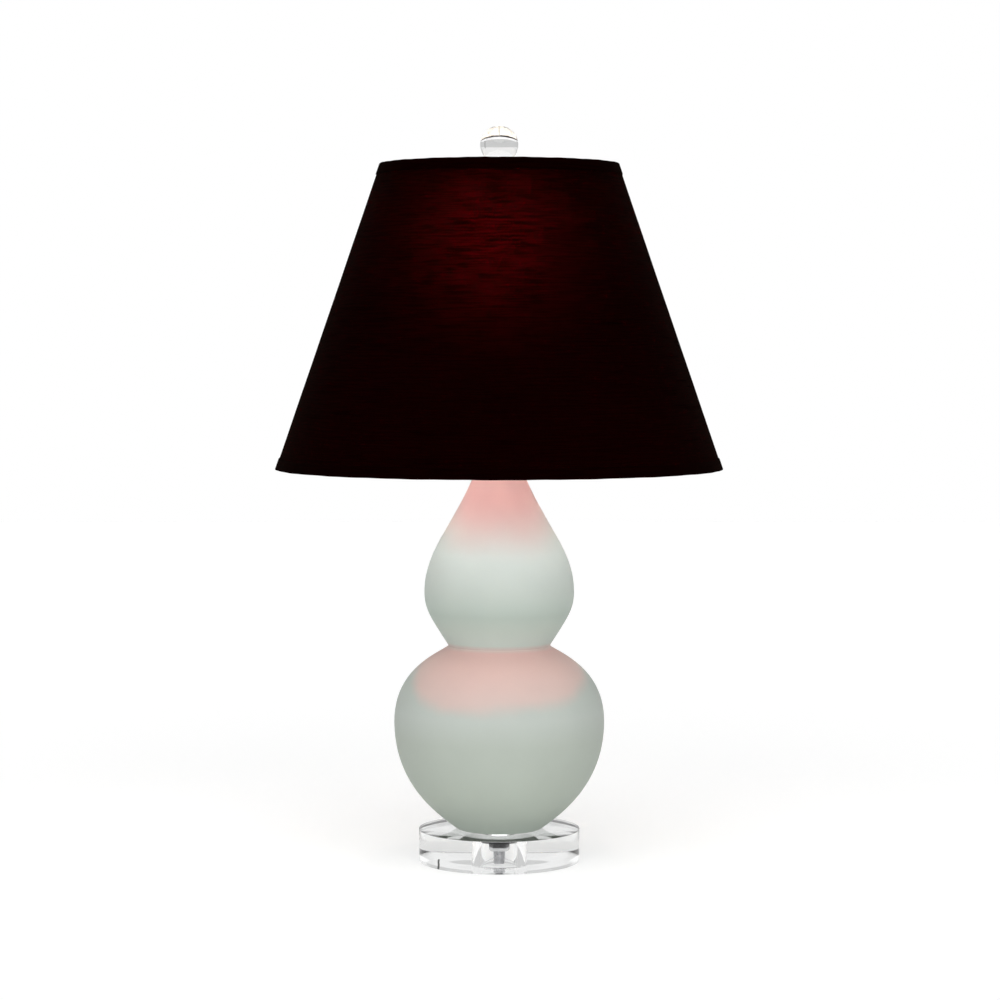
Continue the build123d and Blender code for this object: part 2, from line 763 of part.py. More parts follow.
with BuildPart() as harp_seat:
    with BuildSketch(Plane.XY.offset(seat_bottom)):
        Circle(seat_radius)
        Circle(stud_radius, mode=Mode.SUBTRACT)
    extrude(amount=seat_thickness)
    chamfer(harp_seat.edges().group_by(Axis.Z)[-1].sort_by(SortBy.LENGTH)[-1], 0.5)
harp_seat.part.label = "harp_seat"
export_step(harp_seat.part, "parts/harp_seat.step")

# ---- Shade: cloth over a stiff lining, wire rings, recessed fitter and folded trim bands ------

shade_slope = (shade_bottom_radius - shade_top_radius) / (shade_top - shade_bottom)


def shade_outside(height):
    """Outer radius of the cloth at a height."""
    return shade_bottom_radius - trim_thickness - shade_slope * (height - shade_bottom)


def shade_band(low, high, outer_inset, inner_inset):
    """Sloped band of the shade's wall between two heights, as a closed outline."""
    return Polyline(
        (shade_outside(low) - outer_inset, low),
        (shade_outside(high) - outer_inset, high),
        (shade_outside(high) - inner_inset, high),
        (shade_outside(low) - inner_inset, low),
        close=True,
    )


edge_fold = 0.8                 # the trim's cloth under and over the edge of the wall
wall_low = shade_bottom + edge_fold
wall_high = shade_top - edge_fold
wall_inset = cloth_thickness + lining_thickness

with BuildPart() as shade_cloth:
    with BuildSketch(Plane.XZ):
        with BuildLine():
            shade_band(wall_low, wall_high, 0, cloth_thickness)
        make_face()
    revolve(axis=Axis.Z)
shade_cloth.part.label = "shade_cloth"
export_step(shade_cloth.part, "parts/shade_cloth.step")

with BuildPart() as shade_lining:
    with BuildSketch(Plane.XZ):
        with BuildLine():
            shade_band(wall_low, wall_high, cloth_thickness, wall_inset)
        make_face()
    revolve(axis=Axis.Z)
shade_lining.part.label = "shade_lining"
export_step(shade_lining.part, "parts/shade_lining.step")

ring_pocket = ring_wire_radius + 0.1
ring_inset = wall_inset + ring_pocket + 0.6
bottom_ring_height = wall_low + ring_pocket
top_ring_height = wall_high - ring_pocket
bottom_ring_radius = shade_outside(bottom_ring_height) - ring_inset
top_ring_radius = shade_outside(top_ring_height) - ring_inset


def trim_outline(edge, inward, ring_radius, ring_height):
    """Band folded round the wall's edge and its ring. Inward is +1 at the bottom, -1 at the top."""
    wall_edge = edge + inward * edge_fold
    band_edge = edge + inward * trim_height
    roll_edge = ring_height + inward * (ring_pocket + 0.7)
    roll_radius = ring_radius - ring_pocket - 0.8
    return Polyline(
        (shade_outside(edge) + trim_thickness, edge),
        (shade_outside(band_edge) + trim_thickness, band_edge),
        (shade_outside(band_edge), band_edge),
        (shade_outside(wall_edge), wall_edge),
        (shade_outside(wall_edge) - wall_inset, wall_edge),
        (shade_outside(roll_edge) - wall_inset, roll_edge),
        (roll_radius + 0.7, roll_edge),
        (roll_radius, roll_edge - inward * 0.7),
        (roll_radius, edge + inward * 0.6),
        (roll_radius + 0.6, edge),
        close=True,
    )


with BuildPart() as shade_bottom_trim:
    with BuildSketch(Plane.XZ):
        with BuildLine():
            trim_outline(shade_bottom, 1, bottom_ring_radius, bottom_ring_height)
        make_face()
        with Locations((bottom_ring_radius, bottom_ring_height)):
            Rectangle(2 * ring_pocket, 2 * ring_pocket, mode=Mode.SUBTRACT)
    revolve(axis=Axis.Z)
shade_bottom_trim.part.label = "shade_bottom_trim"
export_step(shade_bottom_trim.part, "parts/shade_bottom_trim.step")

with BuildPart() as shade_bottom_ring:
    with BuildSketch(Plane.XZ):
        with Locations((bottom_ring_radius, bottom_ring_height)):
            Circle(ring_wire_radius)
    revolve(axis=Axis.Z)
shade_bottom_ring.part.label = "shade_bottom_ring"
export_step(shade_bottom_ring.part, "parts/shade_bottom_ring.step")

fitter_bottom = seat_bottom + seat_thickness + body_gap
fitter_thickness = 1.5
fitter_radius = 14.0
fitter_hole_radius = 5.5
arm_radius = 1.4
arm_angles = (90, 210, 330)     # one arm points to the back
arm_hub_height = fitter_bottom + fitter_thickness / 2
arm_bend = 14.0

with BuildPart() as shade_fitter:
    with BuildSketch(Plane.XY.offset(fitter_bottom)):
        Circle(fitter_radius)
        Circle(fitter_hole_radius, mode=Mode.SUBTRACT)
    extrude(amount=fitter_thickness)
    with BuildSketch(Plane.XZ):
        with Locations((top_ring_radius, top_ring_height)):
            Circle(ring_wire_radius)
    revolve(axis=Axis.Z)
    for angle in arm_angles:
        with BuildLine(Plane.XZ.rotated((0, 0, angle))) as arm_path:
            FilletPolyline(
                (fitter_radius - 2.5, arm_hub_height),
                (fitter_radius + 12, arm_hub_height),
                (top_ring_radius - arm_bend, top_ring_height),
                (top_ring_radius, top_ring_height),
                radius=arm_bend,
            )
        with BuildSketch(Plane(arm_path.line @ 0, z_dir=arm_path.line % 0)):
            Circle(arm_radius)
        sweep(path=arm_path.line)
    with BuildSketch(Plane.XY.offset(fitter_bottom)):
        Circle(fitter_radius - 2)
        Circle(fitter_hole_radius, mode=Mode.SUBTRACT)
    extrude(amount=-2 * arm_radius, mode=Mode.SUBTRACT)
shade_fitter.part.label = "shade_fitter"
export_step(shade_fitter.part, "parts/shade_fitter.step")

with BuildPart() as shade_top_trim:
    with BuildSketch(Plane.XZ):
        with BuildLine():
            trim_outline(shade_top, -1, top_ring_radius, top_ring_height)
        make_face()
        with Locations((top_ring_radius, top_ring_height)):
            Rectangle(2 * ring_pocket, 2 * ring_pocket, mode=Mode.SUBTRACT)
    revolve(axis=Axis.Z)
    for angle in arm_angles:
        with BuildSketch(Plane.YZ.rotated((0, 0, angle)).offset(top_ring_radius - 8)):
            with Locations((0, top_ring_height)):
                Circle(arm_radius + 0.1)
        extrude(amount=8, mode=Mode.SUBTRACT)
shade_top_trim.part.label = "shade_top_trim"
export_step(shade_top_trim.part, "parts/shade_top_trim.step")

# ---- Finial: tapped insert and clear ball ----------------------------------------------------

insert_bottom = fitter_bottom + fitter_thickness + body_gap
ball_centre = overall_height - ball_radius
ball_flat = ball_centre - 13.8  # small flat where the ball meets its insert
tapped_radius = stud_radius + 0.1
flange_radius = 6.6
stem_top_radius = 5.4
stem_waist = 4.7
tenon_radius = 3.6
tenon_top = ball_flat + 2.3

with BuildPart() as finial_insert:
    with BuildSketch(Plane.XZ):
        with BuildLine():
            base_edge = Polyline(
                (tapped_radius, insert_bottom),
                (flange_radius, insert_bottom),
                (flange_radius, insert_bottom + 1.6),
                (flange_radius - 1, insert_bottom + 2.4),
            )
            stem = ThreePointArc(
                base_edge @ 1,
                (stem_waist, insert_bottom + 7.2),
                (stem_top_radius, ball_flat - body_gap - 1.0),
            )
            Polyline(
                stem @ 1,
                (stem_top_radius, ball_flat - body_gap),
                (tenon_radius, ball_flat - body_gap),
                (tenon_radius, tenon_top),
                (0, tenon_top),
                (0, stud_top + 1.0),
                (tapped_radius, stud_top + 1.0),
                base_edge @ 0,
            )
        make_face()
    revolve(axis=Axis.Z)
finial_insert.part.label = "finial_insert"
export_step(finial_insert.part, "parts/finial_insert.step")

with BuildPart() as finial_ball:
    with BuildSketch(Plane.XZ):
        with Locations((0, ball_centre)):
            Circle(ball_radius)
        with Locations((-ball_radius, ball_centre)):
            Rectangle(2 * ball_radius, 3 * ball_radius, mode=Mode.SUBTRACT)
        with Locations((0, ball_flat)):
            Rectangle(
                3 * ball_radius,
                ball_radius,
                align=(Align.CENTER, Align.MAX),
                mode=Mode.SUBTRACT,
            )
            Rectangle(
                2 * (tenon_radius + fit_gap),
                tenon_top - ball_flat + body_gap,
                align=(Align.CENTER, Align.MIN),
                mode=Mode.SUBTRACT,
            )
    revolve(axis=Axis.Z)
finial_ball.part.label = "finial_ball"
export_step(finial_ball.part, "parts/finial_ball.step")
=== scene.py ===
import json
import math

import bmesh
import bpy
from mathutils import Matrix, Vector


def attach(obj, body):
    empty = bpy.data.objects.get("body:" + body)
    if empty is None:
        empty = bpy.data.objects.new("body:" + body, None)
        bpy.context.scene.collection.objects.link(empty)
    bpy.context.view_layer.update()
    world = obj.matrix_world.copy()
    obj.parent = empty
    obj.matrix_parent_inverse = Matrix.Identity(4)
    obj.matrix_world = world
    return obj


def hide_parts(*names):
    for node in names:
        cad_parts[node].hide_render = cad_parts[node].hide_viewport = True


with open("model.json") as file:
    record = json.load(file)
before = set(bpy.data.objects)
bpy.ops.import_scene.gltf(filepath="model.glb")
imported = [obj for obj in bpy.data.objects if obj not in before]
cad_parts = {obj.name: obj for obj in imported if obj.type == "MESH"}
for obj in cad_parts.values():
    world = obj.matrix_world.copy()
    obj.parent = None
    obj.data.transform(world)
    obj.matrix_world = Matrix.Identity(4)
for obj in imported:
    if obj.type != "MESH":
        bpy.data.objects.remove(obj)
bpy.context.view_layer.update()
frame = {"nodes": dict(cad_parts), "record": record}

# Double gourd table lamp. Metres, +Z up, front at -Y, origin under the middle of the clear block.

MM = 0.001
TAU = math.tau

# ---- Camera ----

CAMERA_PLACE = (0.0006, -2.2583, 0.4198)
CAMERA_DIP = 0.0595             # radians below the horizontal
CAMERA_LENS = 103.6
CAMERA_SENSOR = 36.0

camera_data = bpy.data.cameras.new("camera")
camera_data.lens = CAMERA_LENS
camera_data.sensor_width = CAMERA_SENSOR
camera = bpy.data.objects.new("camera", camera_data)
camera.location = CAMERA_PLACE
camera.rotation_euler = (math.pi / 2 - CAMERA_DIP, 0, 0)
bpy.context.collection.objects.link(camera)
bpy.context.scene.camera = camera
bpy.context.scene.view_settings.view_transform = "Standard"


# ---- Node helpers ----


def add(tree, kind, inputs=None, **settings):
    """A node with its settings, and its inputs set to values or linked to sockets."""
    node = tree.nodes.new(kind)
    for key, value in settings.items():
        setattr(node, key, value)
    for socket, value in (inputs or {}).items():
        if isinstance(value, bpy.types.NodeSocket):
            tree.links.new(value, node.inputs[socket])
        else:
            node.inputs[socket].default_value = value
    return node


def math_node(tree, operation, *values):
    """The output of one Math node."""
    return add(tree, "ShaderNodeMath", dict(enumerate(values)), operation=operation).outputs[0]


def vector_node(tree, operation, *values, output=0):
    """The output of one Vector Math node."""
    return add(tree, "ShaderNodeVectorMath", dict(enumerate(values)), operation=operation).outputs[output]


def scaled(tree, vector, amount):
    """A vector or colour times a number."""
    return add(tree, "ShaderNodeVectorMath", {0: vector, "Scale": amount}, operation="SCALE").outputs[0]


def split_xyz(tree, vector):
    """The X, Y and Z of a vector."""
    return add(tree, "ShaderNodeSeparateXYZ", {0: vector}).outputs


def join_xyz(tree, x=0.0, y=0.0, z=0.0):
    return add(tree, "ShaderNodeCombineXYZ", {0: x, 1: y, 2: z}).outputs[0]


def mapped(tree, value, low, high, to_low=0.0, to_high=1.0, smooth=False):
    """A value moved from one range to another, clamped."""
    node = add(
        tree,
        "ShaderNodeMapRange",
        {0: value, 1: low, 2: high, 3: to_low, 4: to_high},
        interpolation_type="SMOOTHSTEP" if smooth else "LINEAR",
    )
    return node.outputs[0]


def blend_colours(tree, share, first, second):
    """Two colours mixed by a share."""
    return add(tree, "ShaderNodeMix", {0: share, 6: first, 7: second}, data_type="RGBA").outputs[2]


def ramp(tree, value, stops):
    """A colour ramp with (place, colour) stops."""
    node = add(tree, "ShaderNodeValToRGB", {0: value})
    elements = node.color_ramp.elements
    while len(elements) < len(stops):
        elements.new(0.5)
    for element, (place, colour) in zip(elements, stops):
        element.position = place
        element.color = (*colour, 1.0)
    return node.outputs[0]


def new_group(name, inputs, outputs):
    """An empty shader group with its sockets. Returns the tree and its group input and output nodes."""
    tree = bpy.data.node_groups.new(name, "ShaderNodeTree")
    for socket, kind, value in inputs:
        item = tree.interface.new_socket(socket, in_out="INPUT", socket_type=kind)
        if value is not None:
            item.default_value = value
    for socket, kind in outputs:
        tree.interface.new_socket(socket, in_out="OUTPUT", socket_type=kind)
    return tree, tree.nodes.new("NodeGroupInput"), tree.nodes.new("NodeGroupOutput")


def use_group(tree, group, inputs):
    """A shared group placed in a material with its own values."""
    return add(tree, "ShaderNodeGroup", inputs, node_tree=group).outputs


def ray_is(tree, *kinds):
    """1 for a ray of one of the kinds named, else 0."""
    path = tree.nodes.new("ShaderNodeLightPath")
    share = path.outputs[kinds[0]]
    for kind in kinds[1:]:
        share = math_node(tree, "MAXIMUM", share, path.outputs[kind])
    return share


def set_surface(tree, shader):
    tree.links.new(shader, tree.nodes["Material Output"].inputs["Surface"])


FLOAT = "NodeSocketFloat"
VECTOR = "NodeSocketVector"


# ---- Shared effects ----

LINE_BREAKS = 60.0              # how fine the breaks in spun lines are
YARN_STRETCH = 0.055            # width over length of a thick place in a yarn
SLUB_SHARE = 0.6                # how much of the weave's height the thick places make


def make_grain():
    """Fine even grain and broad handling marks, from object coordinates."""
    tree, given, made = new_group(
        "grain",
        [("Vector", VECTOR, None), ("Fine", FLOAT, 900.0), ("Broad", FLOAT, 30.0)],
        [("Fine", FLOAT), ("Broad", FLOAT)],
    )
    for name, detail in (("Fine", 2.0), ("Broad", 4.0)):
        noise = add(
            tree,
            "ShaderNodeTexNoise",
            {"Vector": given.outputs["Vector"], "Scale": given.outputs[name], "Detail": detail},
        )
        share = mapped(tree, noise.outputs[0], 0.3, 0.7)
        tree.links.new(share, made.inputs[name])
    return tree


def make_spun_lines():
    """Faint rings that spinning and polishing leave round the axis, with breaks in them."""
    tree, given, made = new_group(
        "spun_lines",
        [("Vector", VECTOR, None), ("Pitch", FLOAT, 0.0004)],
        [("Lines", FLOAT)],
    )
    height = split_xyz(tree, given.outputs["Vector"])[2]
    across = math_node(tree, "DIVIDE", height, given.outputs["Pitch"])
    drift = add(tree, "ShaderNodeTexNoise", {"Vector": given.outputs["Vector"], "Scale": LINE_BREAKS})
    around = math_node(tree, "MULTIPLY", drift.outputs[0], 2.0)
    lined = add(tree, "ShaderNodeTexNoise", {"W": math_node(tree, "ADD", across, around)}, noise_dimensions="1D")
    tree.links.new(mapped(tree, lined.outputs[0], 0.35, 0.65), made.inputs["Lines"])
    return tree


def make_weave():
    """Plain weave with thick and thin weft yarns, from a UV map in metres."""
    tree, given, made = new_group(
        "weave",
        [("Vector", VECTOR, None), ("Pitch", FLOAT, 0.0005), ("Streak", FLOAT, 0.0016)],
        [("Height", FLOAT), ("Thread", FLOAT), ("Slub", FLOAT)],
    )
    along, across, _ = split_xyz(tree, given.outputs["Vector"])
    waves = []
    for place in (along, across):
        turns = math_node(tree, "DIVIDE", place, given.outputs["Pitch"])
        angle = math_node(tree, "MULTIPLY", turns, TAU)
        waves.append(math_node(tree, "SINE", angle))
    thread = mapped(tree, math_node(tree, "MULTIPLY", *waves), -1.0, 1.0)
    stretched = vector_node(tree, "MULTIPLY", given.outputs["Vector"], (YARN_STRETCH, 1.0, 1.0))
    scale = math_node(tree, "DIVIDE", 1.0, given.outputs["Streak"])
    streaks = add(
        tree,
        "ShaderNodeTexNoise",
        {"Vector": stretched, "Scale": scale, "Detail": 5.0, "Roughness": 0.65},
    )
    slub = mapped(tree, streaks.outputs[0], 0.36, 0.68)
    bumps = math_node(tree, "MULTIPLY", slub, SLUB_SHARE)
    height = math_node(tree, "ADD", math_node(tree, "MULTIPLY", thread, 1.0 - SLUB_SHARE), bumps)
    tree.links.new(height, made.inputs["Height"])
    tree.links.new(thread, made.inputs["Thread"])
    tree.links.new(slub, made.inputs["Slub"])
    return tree


grain_group = make_grain()
spun_group = make_spun_lines()
weave_group = make_weave()


# ---- Materials ----


def new_material(name, colour=None, **sockets):
    """A Principled material. Socket names have underscores for spaces. Returns material, tree, shader."""
    material = bpy.data.materials.new(name)
    material.use_nodes = True
    tree = material.node_tree
    shader = tree.nodes["Principled BSDF"]
    if colour is not None:
        shader.inputs["Base Color"].default_value = (*colour, 1.0)
    for socket, value in sockets.items():
        shader.inputs[socket.replace("_", " ")].default_value = value
    return material, tree, shader


def object_place(tree):
    return tree.nodes.new("ShaderNodeTexCoord").outputs["Object"]


def set_bump(tree, shader, height, distance):
    bump = add(tree, "ShaderNodeBump", {"Height": height, "Distance": distance})
    tree.links.new(bump.outputs[0], shader.inputs["Normal"])


METAL_GRAIN = 1200.0
METAL_LINES = 0.0004            # pitch of the rings left by spinning
METAL_RELIEF = 0.004 * MM
HIGHLIGHT_FADE = 0.3 * MM            # half the fade at the edge of a painted highlight


def make_metal(name, colour, dark, rough, painted_highlight=None):
    """Plated or plain metal: spun lines, handling marks and a slightly dulled tone in patches.

    painted_highlight is a (height, colour) below which the metal is painted pale: a painted highlight.
    """
    material, tree, shader = new_material(name, Metallic=1.0)
    place = object_place(tree)
    grain = use_group(tree, grain_group, {"Vector": place, "Fine": METAL_GRAIN, "Broad": 45.0})
    spun = use_group(tree, spun_group, {"Vector": place, "Pitch": METAL_LINES})
    tone = blend_colours(tree, math_node(tree, "MULTIPLY", grain["Broad"], 0.5), (*colour, 1), (*dark, 1))
    # Painted highlight: the metal is pale below a height.
    if painted_highlight:
        height = split_xyz(tree, place)[2]
        highlight_share = mapped(tree, height, painted_highlight[0] - HIGHLIGHT_FADE, painted_highlight[0] + HIGHLIGHT_FADE, 1.0, 0.0)
        tone = blend_colours(tree, highlight_share, tone, (*painted_highlight[1], 1))
    tree.links.new(tone, shader.inputs["Base Color"])
    roughness = mapped(tree, grain["Broad"], 0.0, 1.0, rough * 0.8, rough * 1.3)
    tree.links.new(roughness, shader.inputs["Roughness"])
    height = math_node(tree, "ADD", math_node(tree, "MULTIPLY", spun["Lines"], 0.7), grain["Fine"])
    set_bump(tree, shader, height, METAL_RELIEF)
    return material


def make_moulded(name, colour, rough, fine=1500.0, depth=0.01 * MM):
    """Moulded plastic or card with a fine surface and slight colour drift."""
    material, tree, shader = new_material(name)
    place = object_place(tree)
    grain = use_group(tree, grain_group, {"Vector": place, "Fine": fine, "Broad": 60.0})
    lighter = tuple(min(1.0, c * 1.12 + 0.004) for c in colour)
    tone = blend_colours(tree, grain["Broad"], (*colour, 1), (*lighter, 1))
    tree.links.new(tone, shader.inputs["Base Color"])
    tree.links.new(mapped(tree, grain["Broad"], 0, 1, rough, rough * 1.2), shader.inputs["Roughness"])
    set_bump(tree, shader, grain["Fine"], depth)
    return material


GOURD_FOOT = 25.4 * MM
GOURD_MOUTH = 321.3 * MM
WAIST_HEIGHT = 170.7 * MM
# Bare clay at the foot, its pale tone also painted light that lifts the shade under the gourd.
BARE_CLAY_AND_PAINTED_LIGHT = (0.86, 0.84, 0.81)
GLAZE_AND_LIGHT_STOPS = (                 # glaze tone from the foot (0) to the mouth (1), with painted light in it: darker towards the foot, lighter at the waist crease and up the neck under the lit shade
    (0.00, (0.38, 0.43, 0.375)),
    (0.05, (0.45, 0.505, 0.44)),
    (0.12, (0.47, 0.525, 0.46)),
    (0.25, (0.46, 0.507, 0.453)),
    (0.32, (0.50, 0.545, 0.507)),
    (0.40, (0.455, 0.505, 0.47)),
    (0.495, (0.61, 0.71, 0.66)),
    (0.54, (0.56, 0.645, 0.58)),
    (0.58, (0.50, 0.585, 0.525)),
    (0.64, (0.61, 0.68, 0.63)),
    (0.74, (0.79, 0.88, 0.86)),
    (0.90, (0.86, 0.90, 0.88)),
)
# Painted warm lamplight: a rose tone where the lamp's light falls on the upward-facing shoulders and neck.
LAMPLIGHT_ROSE_LOW = (0.735, 0.465, 0.43)
LAMPLIGHT_ROSE_HIGH = (0.93, 0.53, 0.53)
LAMPLIGHT_ROSE_BLEND = (0.17, 0.25)      # heights between which the lower colour turns into the upper one
LAMPLIGHT_EDGE_WANDER = 4 * MM           # how far the painted lamplight's edge wanders
LAMPLIGHT_BUILD = 38 * MM           # how far above its edge the painted lamplight is at its strongest, at most
LAMPLIGHT_FULL = 0.92
# Each bulb's painted warm lamplight: its edge's height at the side, how far it sags in front, how wide it fades, how
# strong it is at its edge, and the height of its ceiling.
PAINTED_LAMPLIGHT_ZONES = (
    (154 * MM, 25 * MM, 15 * MM, 0.5, WAIST_HEIGHT - 0.5 * MM),
    (275 * MM, 11 * MM, 54 * MM, 1.0, 1.0),
)


def make_glaze():
    """Satin grey-green glaze, with painted light in its tone: a rose for the lamp's warm light on each bulb's
    shoulder, sagging to the front.
    """
    material, tree, shader = new_material("ceramic_glaze", Specular_IOR_Level=0.22)
    place = object_place(tree)
    x, y, height = split_xyz(tree, place)
    share = mapped(tree, height, GOURD_FOOT, GOURD_MOUTH)
    # The height ramp carries painted light and shade as well as the glaze's own tone.
    tone = ramp(tree, share, GLAZE_AND_LIGHT_STOPS)
    # The rose lamplight below is painted, and sags towards the front.
    outward = vector_node(tree, "NORMALIZE", join_xyz(tree, x, y))
    facing = math_node(tree, "MULTIPLY", split_xyz(tree, outward)[1], -1.0)
    front = mapped(tree, facing, 0.0, 1.0, smooth=True)
    drift = add(tree, "ShaderNodeTexNoise", {"Vector": place, "Scale": 14.0, "Detail": 3.0})
    ragged = mapped(tree, drift.outputs[0], 0.3, 0.7, -LAMPLIGHT_EDGE_WANDER, LAMPLIGHT_EDGE_WANDER)
    painted_lamplight = None
    for side_edge, sag, fade, faint, ceiling in PAINTED_LAMPLIGHT_ZONES:
        edge = math_node(tree, "SUBTRACT", side_edge, math_node(tree, "MULTIPLY", front, sag))
        above = math_node(tree, "SUBTRACT", math_node(tree, "ADD", height, ragged), edge)
        soft = mapped(tree, above, -fade / 2, fade / 2, smooth=True)
        under = mapped(tree, height, ceiling - 2 * MM, ceiling + 4 * MM, 1.0, 0.0)
        reach = math_node(tree, "MINIMUM", math_node(tree, "SUBTRACT", ceiling, edge), LAMPLIGHT_BUILD)
        build = mapped(tree, above, 0.0, reach, faint, LAMPLIGHT_FULL)
        mask = math_node(tree, "MULTIPLY", soft, math_node(tree, "MULTIPLY", under, build))
        painted_lamplight = mask if painted_lamplight is None else math_node(tree, "MAXIMUM", painted_lamplight, mask)
    upper = mapped(tree, height, *LAMPLIGHT_ROSE_BLEND)
    lamplight_rose = blend_colours(tree, upper, (*LAMPLIGHT_ROSE_LOW, 1), (*LAMPLIGHT_ROSE_HIGH, 1))
    colour = blend_colours(tree, painted_lamplight, tone, lamplight_rose)
    # Bare clay foot, painted pale as well to lift the shade beneath the gourd.
    bare_foot_and_painted_light = mapped(tree, height, GOURD_FOOT + 0.2 * MM, GOURD_FOOT + 0.5 * MM, 1.0, 0.0)
    colour = blend_colours(tree, bare_foot_and_painted_light, colour, (*BARE_CLAY_AND_PAINTED_LIGHT, 1))
    grain = use_group(tree, grain_group, {"Vector": place, "Fine": 700.0, "Broad": 22.0})
    mottle = mapped(tree, grain["Broad"], 0, 1, 0.975, 1.02)
    tree.links.new(scaled(tree, colour, mottle), shader.inputs["Base Color"])
    tree.links.new(mapped(tree, grain["Broad"], 0, 1, 0.5, 0.6), shader.inputs["Roughness"])
    set_bump(tree, shader, grain["Fine"], 0.012 * MM)
    return material


def make_acrylic(name):
    """Clear cast acrylic. Shadow rays pass, so that what stands behind it stays bright."""
    material, tree, shader = new_material(name, (0.985, 0.99, 0.99), IOR=1.49, Transmission_Weight=1.0)
    place = object_place(tree)
    grain = use_group(tree, grain_group, {"Vector": place, "Fine": 300.0, "Broad": 12.0})
    tree.links.new(mapped(tree, grain["Broad"], 0, 1, 0.0, 0.018), shader.inputs["Roughness"])
    clear = add(tree, "ShaderNodeBsdfTransparent", {"Color": (0.9, 0.92, 0.92, 1)})
    shadow = ray_is(tree, "Is Shadow Ray")
    mix = add(tree, "ShaderNodeMixShader", {0: shadow, 1: shader.outputs[0], 2: clear.outputs[0]})
    set_surface(tree, mix.outputs[0])
    return material


CLOTH_DARK = (0.0018, 0.00005, 0.00003)
CLOTH_LIGHT = (0.0042, 0.0002, 0.0001)
CLOTH_GLOW = (0.62, 0.012, 0.03)
CLOTH_OPEN = 0.0125             # share of the cloth that lets a lamp's light through
CLOTH_RELIEF = 0.12 * MM
YARN_TILT = 1.2                 # how far the light through the cloth is tipped up and down
LINING_OPEN = 0.35              # share of the lining that lets light through
LINING_BROAD = 0.55             # share of that light that is spread widest
LINING_TILT = (-0.5, 4.0)


def tilted(tree, amount):
    """The surface normal tipped up by an amount, as the rounded backs of yarns tip it."""
    normal = tree.nodes.new("ShaderNodeNewGeometry").outputs["Normal"]
    return vector_node(tree, "NORMALIZE", vector_node(tree, "ADD", normal, join_xyz(tree, z=amount)))


def let_out(tree, front):
    """Shows a shader on a thin wall's near side. A ray already inside the wall leaves it unbent."""
    clear = tree.nodes.new("ShaderNodeBsdfTransparent")
    inside = tree.nodes.new("ShaderNodeNewGeometry").outputs["Backfacing"]
    mix = add(tree, "ShaderNodeMixShader", {0: inside, 1: front, 2: clear.outputs[0]})
    set_surface(tree, mix.outputs[0])


def make_cloth(name, glow):
    """Near-black woven cloth with slubs. glow is the share of it that a lamp's light shines through."""
    material, tree, shader = new_material(name, Roughness=0.9, Specular_IOR_Level=0.0)
    shader.inputs["Sheen Weight"].default_value = 0.012
    shader.inputs["Sheen Roughness"].default_value = 0.35
    shader.inputs["Sheen Tint"].default_value = (0.8, 0.75, 0.6, 1)
    uv = tree.nodes.new("ShaderNodeUVMap")
    uv.uv_map = "cloth"
    weave = use_group(tree, weave_group, {"Vector": uv.outputs[0]})
    tone = blend_colours(tree, weave["Slub"], (*CLOTH_DARK, 1), (*CLOTH_LIGHT, 1))
    tree.links.new(tone, shader.inputs["Base Color"])
    set_bump(tree, shader, weave["Height"], CLOTH_RELIEF)
    if glow:
        spread = mapped(tree, weave["Thread"], 0, 1, -YARN_TILT, YARN_TILT)
        open_weave = mapped(tree, weave["Slub"], 0.2, 0.7, 1.0, 0.04)
        dyed = blend_colours(tree, open_weave, (0, 0, 0, 1), (*CLOTH_GLOW, 1))
        through = add(
            tree,
            "ShaderNodeBsdfRefraction",
            {"Color": dyed, "Roughness": 0.7, "IOR": 1.3, "Normal": tilted(tree, spread)},
        )
        mix = add(tree, "ShaderNodeMixShader", {0: glow, 1: shader.outputs[0], 2: through.outputs[0]})
        let_out(tree, mix.outputs[0])
    return material


def make_lining():
    """Off-white styrene, which spreads the light that reaches the cloth."""
    material, tree, shader = new_material("lining_styrene", Specular_IOR_Level=0.4)
    place = object_place(tree)
    grain = use_group(tree, grain_group, {"Vector": place, "Fine": 600.0, "Broad": 16.0})
    tone = blend_colours(tree, grain["Broad"], (0.80, 0.76, 0.70, 1), (0.76, 0.71, 0.64, 1))
    tree.links.new(tone, shader.inputs["Base Color"])
    tree.links.new(mapped(tree, grain["Broad"], 0, 1, 0.42, 0.55), shader.inputs["Roughness"])
    set_bump(tree, shader, grain["Fine"], 0.02 * MM)
    spread = mapped(tree, grain["Fine"], 0, 1, *LINING_TILT)
    through = add(
        tree,
        "ShaderNodeBsdfRefraction",
        {"Color": (0.9, 0.85, 0.8, 1), "Roughness": 0.5, "IOR": 1.5, "Normal": tilted(tree, spread)},
    )
    broad = add(tree, "ShaderNodeBsdfRefraction", {"Color": (0.9, 0.85, 0.8, 1), "Roughness": 1.0, "IOR": 1.3})
    both = add(tree, "ShaderNodeMixShader", {0: LINING_BROAD, 1: through.outputs[0], 2: broad.outputs[0]})
    mix = add(tree, "ShaderNodeMixShader", {0: LINING_OPEN, 1: shader.outputs[0], 2: both.outputs[0]})
    let_out(tree, mix.outputs[0])
    return material


BULB_STRENGTH = 62.0
BULB_DARK = (0.03, 0.015, 0.008)
BULB_WARM = (1.0, 0.96, 0.93)
BULB_NECK = (0.425, 0.32)       # height and brightness near the cap
BULB_CROWN = (0.488, 1.0)       # height and brightness at the round end
BULB_NEAR_SIDE = (-0.03, 1.0)   # X and brightness on the side that the filament leans to
BULB_FAR_SIDE = (0.03, 0.45)


